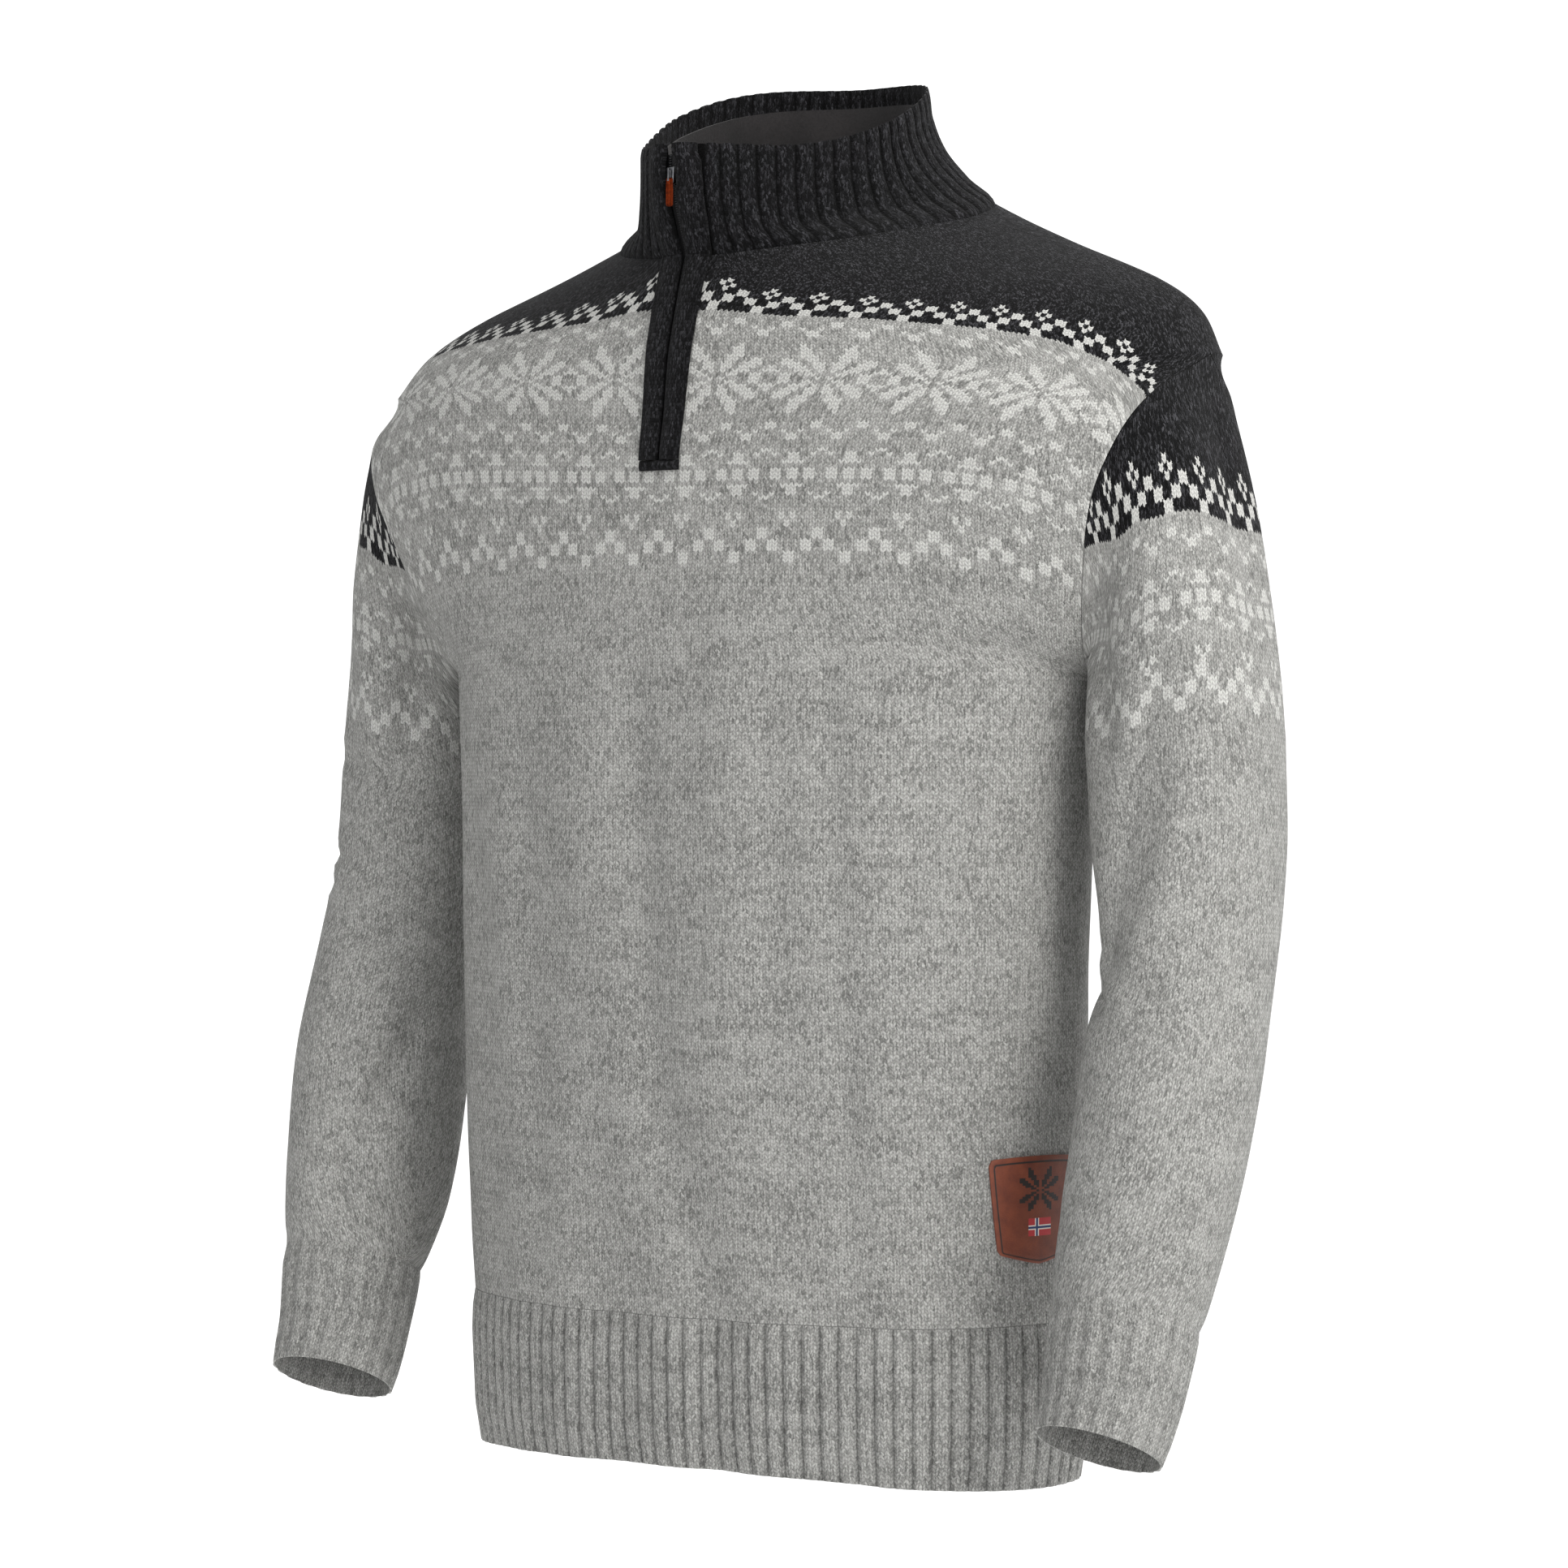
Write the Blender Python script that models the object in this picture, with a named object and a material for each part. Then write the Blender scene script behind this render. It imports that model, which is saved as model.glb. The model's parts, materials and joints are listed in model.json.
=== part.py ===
"""Nordic yoke sweater: a half-zip knitted jumper, filled out as it is worn.

Metres, +Z up, the front faces -Y and the wearer's left side is +X. The origin
is the middle of the shoulder line, where the wearer carries the garment.
Each cut piece is a wall between an outer and an inner grid of points.
"""

import math
from collections import namedtuple

import bmesh
import bpy
from mathutils import Matrix, Vector

# Cloth
KNIT_WALL = 0.0022
RIB_WALL = 0.0016
LINING_WALL = 0.0014
SEAM_GAP = 0.0003

# Body: one row of a panel runs from the centre line (x = 0) to its side edge.
# turn is how far round the body that row goes, in degrees; power is 1 for an
# oval and less for a squarer section; steps is the number of mesh rows up to
# the next row of the table.
BodyRow = namedtuple("BodyRow", "place centre_y centre_z edge_x edge_y edge_z turn power steps")

FRONT_BELOW_ARM = (
    BodyRow("hem seam", -0.1190, -0.6200, 0.1900, -0.006, -0.6200, 90, 0.88, 1),
    BodyRow("patch foot", -0.1210, -0.5870, 0.1915, -0.007, -0.5870, 90, 0.88, 1),
    BodyRow("patch head", -0.1240, -0.5290, 0.1930, -0.008, -0.5290, 90, 0.88, 2),
    BodyRow("waist", -0.1280, -0.4200, 0.1950, -0.009, -0.4200, 90, 0.88, 2),
    BodyRow("midriff", -0.1300, -0.3300, 0.1975, -0.008, -0.3300, 90, 0.88, 2),
    BodyRow("underarm", -0.1290, -0.2620, 0.2050, -0.002, -0.2740, 90, 0.88, 0),
)
FRONT_ARMHOLE = (
    BodyRow("underarm", -0.1290, -0.2620, 0.2050, -0.002, -0.2740, 90, 0.88, 2),
    BodyRow("low", -0.1275, -0.2330, 0.2128, -0.036, -0.2560, 76, 0.88, 2),
    BodyRow("middle", -0.1250, -0.1950, 0.2300, -0.062, -0.1920, 62, 0.88, 2),
    BodyRow("high", -0.1235, -0.1540, 0.2450, -0.064, -0.1550, 60, 0.88, 2),
    BodyRow("top", -0.1195, -0.1300, 0.2575, -0.044, -0.1250, 68, 0.88, 2),
    BodyRow("shoulder tip", -0.1165, -0.1080, 0.2650, 0.012, -0.0990, 90, 0.95, 0),
)
FRONT_SHOULDER = (
    BodyRow("shoulder tip", -0.1165, -0.1080, 0.2650, 0.012, -0.0990, 90, 0.95, 2),
    BodyRow("outer", -0.1140, -0.0930, 0.2480, 0.016, -0.0720, 90, 0.98, 2),
    BodyRow("middle", -0.1100, -0.0770, 0.2170, 0.019, -0.0530, 90, 1.00, 1),
    BodyRow("inner", -0.1050, -0.0600, 0.1700, 0.018, -0.0360, 90, 1.06, 1),
    BodyRow("neck", -0.0990, -0.0415, 0.1130, 0.008, -0.0155, 90, 1.25, 0),
)
BACK_BELOW_ARM = (
    BodyRow("hem seam", 0.0910, -0.6200, 0.1900, -0.006, -0.6200, 90, 1.0, 1),
    BodyRow("patch foot", 0.0905, -0.5870, 0.1915, -0.007, -0.5870, 90, 1.0, 1),
    BodyRow("patch head", 0.0900, -0.5290, 0.1930, -0.008, -0.5290, 90, 1.0, 2),
    BodyRow("waist", 0.0910, -0.4200, 0.1950, -0.009, -0.4200, 90, 1.0, 2),
    BodyRow("midriff", 0.0990, -0.3300, 0.1975, -0.008, -0.3300, 90, 0.97, 2),
    BodyRow("underarm", 0.1110, -0.2620, 0.2050, -0.002, -0.2740, 90, 0.90, 0),
)
BACK_ARMHOLE = (
    BodyRow("underarm", 0.1110, -0.2620, 0.2050, -0.002, -0.2740, 90, 0.90, 2),
    BodyRow("low", 0.1150, -0.2330, 0.2128, 0.031, -0.2560, 76, 0.88, 2),
    BodyRow("middle", 0.1190, -0.1930, 0.2315, 0.059, -0.1920, 62, 0.88, 2),
    BodyRow("high", 0.1210, -0.1530, 0.2470, 0.064, -0.1550, 60, 0.88, 2),
    BodyRow("top", 0.1205, -0.1180, 0.2600, 0.048, -0.1250, 68, 0.88, 2),
    BodyRow("shoulder tip", 0.1190, -0.0930, 0.2650, 0.012, -0.0990, 90, 0.92, 0),
)
BACK_SHOULDER = (
    BodyRow("shoulder tip", 0.1190, -0.0930, 0.2650, 0.012, -0.0990, 90, 0.92, 2),
    BodyRow("outer", 0.1170, -0.0740, 0.2480, 0.016, -0.0720, 90, 0.93, 2),
    BodyRow("middle", 0.1140, -0.0520, 0.2170, 0.019, -0.0530, 90, 0.93, 1),
    BodyRow("inner", 0.1080, -0.0220, 0.1700, 0.018, -0.0360, 90, 0.95, 1),
    BodyRow("neck", 0.1000, 0.0100, 0.1130, 0.008, -0.0155, 90, 0.92, 0),
)

# A point inside the body, level with the underarm.
BODY_MIDDLE = Vector((0.0, 0.0, -0.3))

# The neck sits a little towards the wearer's left at the top of the shoulders.
NECK_LEAN = 0.0080

# Columns of a panel, as shares of the row's turn. The front starts with two
# columns at fixed distances: the edge of the zip slit and the band's far side.
SLIT_HALF = 0.004
BAND_GROUND = 0.0165
FRONT_SHARES = (0.19, 0.31, 0.44, 0.57, 0.69, 0.80, 0.91, 1.0)
BACK_SHARES = (0.0, 0.13, 0.26, 0.38, 0.50, 0.62, 0.75, 0.88, 1.0)

# Soft folds: a line from (across, height) to (across, height) that the cloth
# rises or sinks along. Across is metres from the centre line on the panels.
Fold = namedtuple("Fold", "place across_top top across_foot foot width depth")
FRONT_FOLDS = (
    Fold("right flank", -0.150, -0.33, -0.130, -0.64, 0.022, -0.0035),
    Fold("right of centre", -0.080, -0.36, -0.030, -0.66, 0.026, -0.0040),
    Fold("left of centre", 0.078, -0.28, 0.092, -0.64, 0.020, -0.0035),
    Fold("left drag", 0.185, -0.22, 0.130, -0.42, 0.014, -0.0030),
    Fold("right drag", -0.190, -0.23, -0.150, -0.40, 0.016, -0.0035),
    Fold("left crest", 0.125, -0.40, 0.140, -0.66, 0.022, 0.0020),
)
BACK_FOLDS = (
    Fold("blade trough", -0.055, -0.24, -0.085, -0.60, 0.024, -0.0035),
    Fold("spine crest", 0.020, -0.30, 0.010, -0.64, 0.030, 0.0025),
    Fold("left trough", 0.095, -0.27, 0.070, -0.62, 0.022, -0.0040),
    Fold("left drag", 0.185, -0.23, 0.145, -0.41, 0.015, -0.0030),
    Fold("right drag", -0.185, -0.23, -0.140, -0.43, 0.016, -0.0030),
)

# Arm: ellipses along the arm's line, with the half width across (towards the
# body) and the half depth (front to back). They are for the left arm.
ArmRow = namedtuple("ArmRow", "place x y z half_width half_depth steps")
ARM_ROWS = (
    ArmRow("biceps", 0.2565, 0.006, -0.300, 0.0475, 0.0600, 2),
    ArmRow("above elbow", 0.2600, 0.003, -0.360, 0.0465, 0.0575, 2),
    ArmRow("elbow", 0.2635, -0.011, -0.420, 0.0450, 0.0545, 3),
    ArmRow("forearm", 0.2640, -0.033, -0.490, 0.0455, 0.0550, 2),
    ArmRow("low forearm", 0.2605, -0.049, -0.550, 0.0440, 0.0515, 1),
    ArmRow("above wrist", 0.2575, -0.062, -0.592, 0.0412, 0.0460, 1),
    ArmRow("cuff seam", 0.2570, -0.068, -0.608, 0.0385, 0.0410, 0),
)
CUFF_ROWS = (
    ArmRow("swell", 0.2560, -0.0725, -0.6250, 0.0380, 0.0400, 1),
    ArmRow("middle", 0.2550, -0.0800, -0.6500, 0.0360, 0.0375, 1),
    ArmRow("rim", 0.2535, -0.0915, -0.6745, 0.0340, 0.0360, 0),
)
CAP_STEPS = 7
CAP_REACH = 0.85
CAP_SPREAD = 0.6
CAP_FALL = 0.75
ARMHOLE_GAP = 0.0006
CORNER_TURNS = (0.65, 0.35)

# Folds of the sleeves: across is the angle round the arm in degrees, from the
# side next to the body over the front (90) and the outside (180) to the back.
LEFT_SLEEVE_FOLDS = (
    Fold("front drag", 118, -0.28, 60, -0.43, 15, -0.0050),
    Fold("armpit crease", 35, -0.21, 62, -0.31, 14, -0.0050),
    Fold("inner elbow", 5, -0.425, 60, -0.455, 22, -0.0040),
    Fold("back elbow", 250, -0.38, 290, -0.46, 22, -0.0040),
    Fold("forearm", 150, -0.47, 110, -0.60, 16, -0.0030),
)
RIGHT_SLEEVE_FOLDS = (
    Fold("outer elbow", 205, -0.372, 150, -0.392, 26, -0.0070),
    Fold("armpit crease", 40, -0.21, 70, -0.32, 15, -0.0055),
    Fold("forearm slant", 20, -0.46, 75, -0.58, 13, -0.0045),
    Fold("back elbow", 260, -0.37, 300, -0.47, 22, -0.0040),
    Fold("upper drag", 130, -0.24, 100, -0.36, 18, -0.0030),
    Fold("inner swell", 325, -0.49, 325, -0.60, 26, 0.0050),
)

# Ribs: along one pitch, how far on a point lies and how high it stands.
RibPoint = namedtuple("RibPoint", "share height")
NARROW_GROOVE = (RibPoint(0.0, 0.0), RibPoint(0.24, 1.0), RibPoint(0.76, 1.0))
WIDE_GROOVE = (RibPoint(0.0, 0.0), RibPoint(0.18, 1.0), RibPoint(0.62, 1.0), RibPoint(0.82, 0.0))
HEM_RIBS_EACH = 48
HEM_RIB_HEIGHT = 0.0010
COLLAR_RIBS = 54
COLLAR_RIB_HEIGHT = 0.0012
CUFF_RIB_HEIGHT = 0.0013
CUFF_RIBS = 20

# Hem rib: how far below the hem seam each ring lies and how far it draws in.
HemRow = namedtuple("HemRow", "drop draw_in")
HEM_ROWS = (HemRow(0.022, -0.0010), HemRow(0.062, 0.0005), HemRow(0.082, 0.0038))
HEM_SIDE_DROP = 0.0070

# Collar: share of its height, and how much of the neck edge's flare is left
# there in front, on the front flank and round the sides and back.
CollarRow = namedtuple("CollarRow", "rise front flank rest shrink")
COLLAR_ROWS = (
    CollarRow(0.20, 0.74, 0.24, 0.62, 0.0),
    CollarRow(0.45, 0.30, 0.05, 0.27, 0.0),
    CollarRow(0.72, 0.03, 0.0, 0.07, 0.0),
    CollarRow(0.88, 0.0, 0.0, 0.02, 0.0),
    CollarRow(1.0, 0.0, 0.0, 0.0, 0.0008),
)
FLANK_TURN = math.radians(50)
REST_TURN = math.radians(100)
COLLAR_HALF_WIDTH = 0.0745
COLLAR_FRONT_DEPTH = 0.1130
COLLAR_BACK_DEPTH = 0.0980
COLLAR_PROW_POWER = 1.3
COLLAR_FRONT_TOP = 0.0190
COLLAR_RISE = 0.0600
COLLAR_RISE_START = -0.085
COLLAR_RISE_LENGTH = 0.205
COLLAR_RIGHT_LIFT = 0.0120
LINING_ROWS = 4
LINING_FOOT_SHARE = 0.3
LINING_FOOT_EASE = 0.0010

# Placket bands, from the slit's foot to the collar's rim.
BAND_THICK = 0.0030
BAND_EDGE_THICK = 0.0009
BAND_GAP = 0.0008
BAND_PROFILE = (
    RibPoint(0.0, 0.0),
    RibPoint(0.15, 0.75),
    RibPoint(0.5, 1.0),
    RibPoint(0.85, 0.75),
    RibPoint(1.0, 0.0),
)
# At a height: how far the band's inner edge is from the centre, and its width.
BandRow = namedtuple("BandRow", "height parting width")
BAND_ROWS = (
    BandRow(-0.160, 0.0004, 0.0118),
    BandRow(-0.062, 0.0004, 0.0142),
    BandRow(-0.039, 0.0014, 0.0145),
    BandRow(-0.022, 0.0030, 0.0145),
    BandRow(0.006, 0.0032, 0.0135),
    BandRow(0.030, 0.0022, 0.0135),
)
FootRow = namedtuple("FootRow", "drop thick")
FOOT_ROWS = (FootRow(0.0, 0.0024), FootRow(0.0027, 0.0030), FootRow(0.0055, 0.0024))

# Zip: tape behind the slit, slider near the top and its pull tab.
TAPE_HALF = 0.0060
TAPE_WALL = 0.0010
TAPE_GAP = 0.0007
SLIDER_SIZE = Vector((0.0054, 0.0028, 0.0090))
SLIDER_CENTRE = Vector((0.0, -0.1125, 0.0020))
BRIDGE_WIDTH = 0.0012
BRIDGE_REACH = 0.0023
BRIDGE_ROOT = 0.0005
BRIDGE_BAR = 0.0009
BRIDGE_HEIGHT = 0.0070
TAB_WIDTH = 0.0036
TAB_LENGTH = 0.0155
TAB_THICK = 0.0007
TAB_WINDOW_WIDTH = 0.0020
TAB_WINDOW_LENGTH = 0.0030

# Leather patch on the front, near the wearer's left side seam.
PATCH_COLUMNS = (7, 9)
PATCH_ROWS = (1, 2)
PATCH_WALL = 0.0018
# Each row as a share of the patch's height at its middle and at its sides.
PatchRow = namedtuple("PatchRow", "middle side")
PATCH_SHAPE = (
    PatchRow(0.0, 0.135),
    PatchRow(0.18, 0.18),
    PatchRow(0.5, 0.5),
    PatchRow(0.9, 0.9),
    PatchRow(1.0, 0.965),
)

COLOURS = {
    "marl": (0.42, 0.42, 0.41),
    "charcoal": (0.045, 0.045, 0.047),
    "fleece": (0.045, 0.040, 0.043),
    "leather": (0.20, 0.065, 0.03),
    "silver": (0.55, 0.55, 0.56),
    "tape": (0.03, 0.03, 0.032),
    "rust": (0.45, 0.09, 0.015),
}


# ---------------------------------------------------------------- small maths

def signed_power(value, power):
    return math.copysign(abs(value) ** power, value)


def smooth_step(value):
    value = min(max(value, 0.0), 1.0)
    return value * value * (3.0 - 2.0 * value)


def spline(before, start, end, after, share):
    """Catmull-Rom between start and end, for numbers."""
    return 0.5 * (
        2.0 * start
        + (end - before) * share
        + (2.0 * before - 5.0 * start + 4.0 * end - after) * share ** 2
        + (3.0 * start - before - 3.0 * end + after) * share ** 3
    )


def table_rows(table):
    """The table's own rows with its in-between rows, each a dict of numbers."""
    names = [name for name in table[0]._fields if name not in ("place", "steps")]
    found = []
    for index in range(len(table) - 1):
        start, end = table[index], table[index + 1]
        before = table[index - 1] if index > 0 else None
        after = table[index + 2] if index + 2 < len(table) else None
        for step in range(start.steps):
            share = step / start.steps
            row = {}
            for name in names:
                a, b = getattr(start, name), getattr(end, name)
                pre = getattr(before, name) if before else 2.0 * a - b
                post = getattr(after, name) if after else 2.0 * b - a
                row[name] = spline(pre, a, b, post, share)
            found.append(row)
    found.append({name: getattr(table[-1], name) for name in names})
    return found


def fold_depth(folds, across, height):
    """How far the cloth stands out (or sinks) at one place.

    A fold fades in and out over half its length, centred on its two ends.
    """
    total = 0.0
    for fold in folds:
        run = (fold.top - height) / (fold.top - fold.foot)
        ends = smooth_step(0.5 + run * 2.0) * smooth_step(0.5 + (1.0 - run) * 2.0)
        line = fold.across_top + (fold.across_foot - fold.across_top) * run
        total += fold.depth * ends * math.exp(-(((across - line) / fold.width) ** 2))
    return total


def grid_normals(grid, closed, outward):
    """A unit normal at each point; outward(row, column) points out of the wall."""
    rows, columns = len(grid), len(grid[0])
    normals = []
    for r in range(rows):
        line = []
        for c in range(columns):
            up = grid[min(r + 1, rows - 1)][c] - grid[max(r - 1, 0)][c]
            if closed:
                along = grid[r][(c + 1) % columns] - grid[r][c - 1]
            else:
                along = grid[r][min(c + 1, columns - 1)] - grid[r][max(c - 1, 0)]
            normal = along.cross(up).normalized()
            if normal.dot(outward(r, c)) < 0.0:
                normal = -normal
            line.append(normal)
        normals.append(line)
    return normals


def shifted(grid, normals, distance):
    return [[p + n * distance for p, n in zip(row, line)] for row, line in zip(grid, normals)]


def chain_lengths(chain):
    """How far along an open chain of points each of them lies."""
    lengths = [0.0]
    for start, end in zip(chain, chain[1:]):
        lengths.append(lengths[-1] + (end - start).length)
    return lengths


def matched(chain, partner, share):
    """The partner chain's point beside the chain's point at that share."""
    lengths = chain_lengths(chain)
    target = share * lengths[-1]
    index = 0
    while index < len(chain) - 2 and target > lengths[index + 1]:
        index += 1
    span = lengths[index + 1] - lengths[index]
    return partner[index].lerp(partner[index + 1], (target - lengths[index]) / span)


def point_on(chain, share):
    """A point at a share of the length of an open chain of points."""
    return matched(chain, chain, share)


# ------------------------------------------------------------- building walls

def new_object(name, mesh, material, collection):
    item = bpy.data.objects.new(name, mesh)
    item.data.materials.append(material)
    collection.objects.link(item)
    return item


def finish_mesh(name, bm):
    bmesh.ops.recalc_face_normals(bm, faces=bm.faces)
    mesh = bpy.data.meshes.new(name)
    bm.to_mesh(mesh)
    bm.free()
    return mesh


def wall_mesh(name, outer, inner, closed=False, cut=()):
    """Close the space between two grids; the outer one may have more columns.

    cut holds (row, column) cells of the inner grid that are left out.
    """
    rows = len(inner)
    cells = len(inner[0]) if closed else len(inner[0]) - 1
    fine = (len(outer[0]) - (0 if closed else 1)) // cells
    bm = bmesh.new()
    outer_verts = [[bm.verts.new(p) for p in row] for row in outer]
    inner_verts = [[bm.verts.new(p) for p in row] for row in inner]
    kept = {(r, c) for r in range(rows - 1) for c in range(cells)} - set(cut)

    def out(r, c):
        return outer_verts[r][c % len(outer[0])] if closed else outer_verts[r][c]

    def ins(r, c):
        return inner_verts[r][c % len(inner[0])] if closed else inner_verts[r][c]

    def has(r, c):
        return (r, c % cells if closed else c) in kept

    for r, c in sorted(kept):
        for k in range(c * fine, (c + 1) * fine):
            bm.faces.new((out(r, k), out(r, k + 1), out(r + 1, k + 1), out(r + 1, k)))
        bm.faces.new((ins(r, c), ins(r + 1, c), ins(r + 1, c + 1), ins(r, c + 1)))
        for edge_row, neighbour in ((r, r - 1), (r + 1, r + 1)):
            if not has(neighbour, c):
                rim = [out(edge_row, k) for k in range(c * fine, (c + 1) * fine + 1)]
                bm.faces.new(rim + [ins(edge_row, c + 1), ins(edge_row, c)])
        for edge_column, neighbour in ((c, c - 1), (c + 1, c + 1)):
            if not has(r, neighbour):
                bm.faces.new((
                    out(r, edge_column * fine),
                    out(r + 1, edge_column * fine),
                    ins(r + 1, edge_column),
                    ins(r, edge_column),
                ))
    loose = [v for v in bm.verts if not v.link_faces]
    bmesh.ops.delete(bm, geom=loose, context="VERTS")
    return finish_mesh(name, bm)


# ------------------------------------------------------------------ the body

def row_point(row, turn_share=None, distance=None):
    """A point of a panel's row, by its share of the turn or its distance."""
    full = math.radians(row["turn"])
    power = row["power"]
    reach = math.sin(full) ** power
    if distance is None:
        angle = full * abs(turn_share)
        side = math.copysign(1.0, turn_share)
    else:
        angle = math.asin(min(1.0, (abs(distance) / row["edge_x"] * reach) ** (1.0 / power)))
        side = math.copysign(1.0, distance)
    across = math.sin(angle) ** power / reach
    depth = 1.0 - max(math.cos(angle), 0.0) ** power
    depth /= 1.0 - max(math.cos(full), 0.0) ** power
    return Vector((
        side * row["edge_x"] * across,
        row["centre_y"] + (row["edge_y"] - row["centre_y"]) * depth,
        row["centre_z"] + (row["edge_z"] - row["centre_z"]) * depth,
    ))


def front_row_points(row):
    left = [row_point(row, distance=d) for d in (SLIT_HALF, BAND_GROUND)]
    left += [row_point(row, turn_share=s) for s in FRONT_SHARES]
    right = [Vector((-p.x, p.y, p.z)) for p in reversed(left)]
    return right + left


def back_row_points(row):
    left = [row_point(row, turn_share=s) for s in BACK_SHARES]
    right = [Vector((-p.x, p.y, p.z)) for p in reversed(left[1:])]
    return right + left


def leaned(grid, tip):
    """Move the rows above the shoulder tip towards the wearer's left."""
    last = len(grid) - 1
    for r in range(tip + 1, len(grid)):
        reach = abs(grid[r][0].x) - BAND_GROUND
        for point in grid[r]:
            share = max(0.0, abs(point.x) - BAND_GROUND) / reach
            point.x += NECK_LEAN * share * (r - tip) / (last - tip)
    return grid


def joined_rows(*tables):
    rows = []
    for table in tables:
        rows += table_rows(table)[0 if not rows else 1:]
    return rows


def folded(grid, folds, facing):
    """Move a panel's points out by its folds, fading out at its edges."""
    normals = grid_normals(grid, False, lambda r, c: facing)
    last = len(grid[0]) - 1
    moved = []
    for row, line in zip(grid, normals):
        new_row = []
        for c, (point, normal) in enumerate(zip(row, line)):
            fade = 0.0 if c in (0, last) else 1.0
            new_row.append(point + normal * fade * fold_depth(folds, point.x, point.z))
        moved.append(new_row)
    return moved


def trimmed(outer, inner, rows):
    """Draw both side edges in by half a seam gap on the given rows."""
    for grid in (outer, inner):
        for r in rows:
            line = grid[r]
            for edge, beside in ((0, 1), (-1, -2)):
                inward = (line[beside] - line[edge]).normalized()
                line[edge] = line[edge] + inward * SEAM_GAP / 2.0


def body_grids():
    """Outer and inner grids of the front and the back, and key row numbers."""
    front_rows = joined_rows(FRONT_BELOW_ARM, FRONT_ARMHOLE, FRONT_SHOULDER)
    back_rows = joined_rows(BACK_BELOW_ARM, BACK_ARMHOLE, BACK_SHOULDER)
    underarm = sum(row.steps for row in FRONT_BELOW_ARM)
    tip = underarm + sum(row.steps for row in FRONT_ARMHOLE)
    front = leaned([front_row_points(row) for row in front_rows], tip)
    back = leaned([back_row_points(row) for row in back_rows], tip)
    front = folded(front, FRONT_FOLDS, Vector((0, -1, 0)))
    back = folded(back, BACK_FOLDS, Vector((0, 1, 0)))
    front_normals = grid_normals(front, False, lambda r, c: front[r][c] - BODY_MIDDLE)
    back_normals = grid_normals(back, False, lambda r, c: back[r][c] - BODY_MIDDLE)
    seam_rows = list(range(underarm + 1)) + list(range(tip, len(front_rows)))
    for r in seam_rows:
        for edge in (0, -1):
            shared = (front_normals[r][edge] + back_normals[r][edge]).normalized()
            front_normals[r][edge] = shared
            back_normals[r][edge] = shared
    for normals in (front_normals, back_normals):
        for r, share in enumerate(CORNER_TURNS, underarm + 1):
            for edge in (0, -1):
                corner = normals[underarm][edge]
                normals[r][edge] = normals[r][edge].lerp(corner, share).normalized()
    front_inner = shifted(front, front_normals, -KNIT_WALL)
    back_inner = shifted(back, back_normals, -KNIT_WALL)
    trimmed(front, front_inner, seam_rows)
    trimmed(back, back_inner, seam_rows)
    return {
        "front": (front, front_inner, front_normals),
        "back": (back, back_inner, back_normals),
        "underarm": underarm,
        "tip": tip,
    }


def slit_foot_row():
    """The panel row where the zip slit starts: the armhole's high row."""
    below = sum(row.steps for row in FRONT_BELOW_ARM)
    return below + sum(row.steps for row in FRONT_ARMHOLE[:3])


# ---------------------------------------------------------------- the sleeves

def armhole_loop(body):
    """Outer and inner points and outward ways round the left armhole.

    It starts at the underarm, goes up the front and comes down the back.
    """
    underarm, tip = body["underarm"], body["tip"]
    sides = {}
    for side in ("front", "back"):
        outer, inner, _ = body[side]
        sides[side] = [(outer[r][-1], inner[r][-1]) for r in range(underarm, tip + 1)]

    def middle(first, second):
        return tuple((a + b) / 2.0 for a, b in zip(first, second))

    front, back = sides["front"], sides["back"]
    loop = [middle(front[0], back[0])] + front[1:-1]
    loop += [middle(front[-1], back[-1])] + back[-2:0:-1]
    return loop, rim_ways(loop)


def rim_ways(loop):
    """For each point of a closed rim, the way that clears both its faces by 1."""
    count = len(loop)
    faces = []
    for j in range(count):
        (out_a, in_a), (out_b, in_b) = loop[j], loop[(j + 1) % count]
        along = out_b + in_b - out_a - in_a
        through = in_a + in_b - out_a - out_b
        faces.append(through.cross(along).normalized())
    ways = []
    for j in range(count):
        way = (faces[j - 1] + faces[j]).normalized()
        ways.append(way / min(way.dot(faces[j - 1]), way.dot(faces[j])))
    return ways


def arm_frames(table):
    """Centre, inward and forward directions and half sizes of each ring."""
    rows = table_rows(table)
    centres = [Vector((row["x"], row["y"], row["z"])) for row in rows]
    frames = []
    for index, row in enumerate(rows):
        ahead = centres[min(index + 1, len(rows) - 1)]
        behind = centres[max(index - 1, 0)]
        down = (ahead - behind).normalized()
        inward = (Vector((-1, 0, 0)) - down * down.dot(Vector((-1, 0, 0)))).normalized()
        forward = (Vector((0, -1, 0)) - down * down.dot(Vector((0, -1, 0)))).normalized()
        frames.append((centres[index], inward, forward, down, row["half_width"], row["half_depth"]))
    return frames


def ring_point(frame, turn):
    centre, inward, forward, _, half_width, half_depth = frame
    return centre + inward * half_width * math.cos(turn) + forward * half_depth * math.sin(turn)


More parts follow.
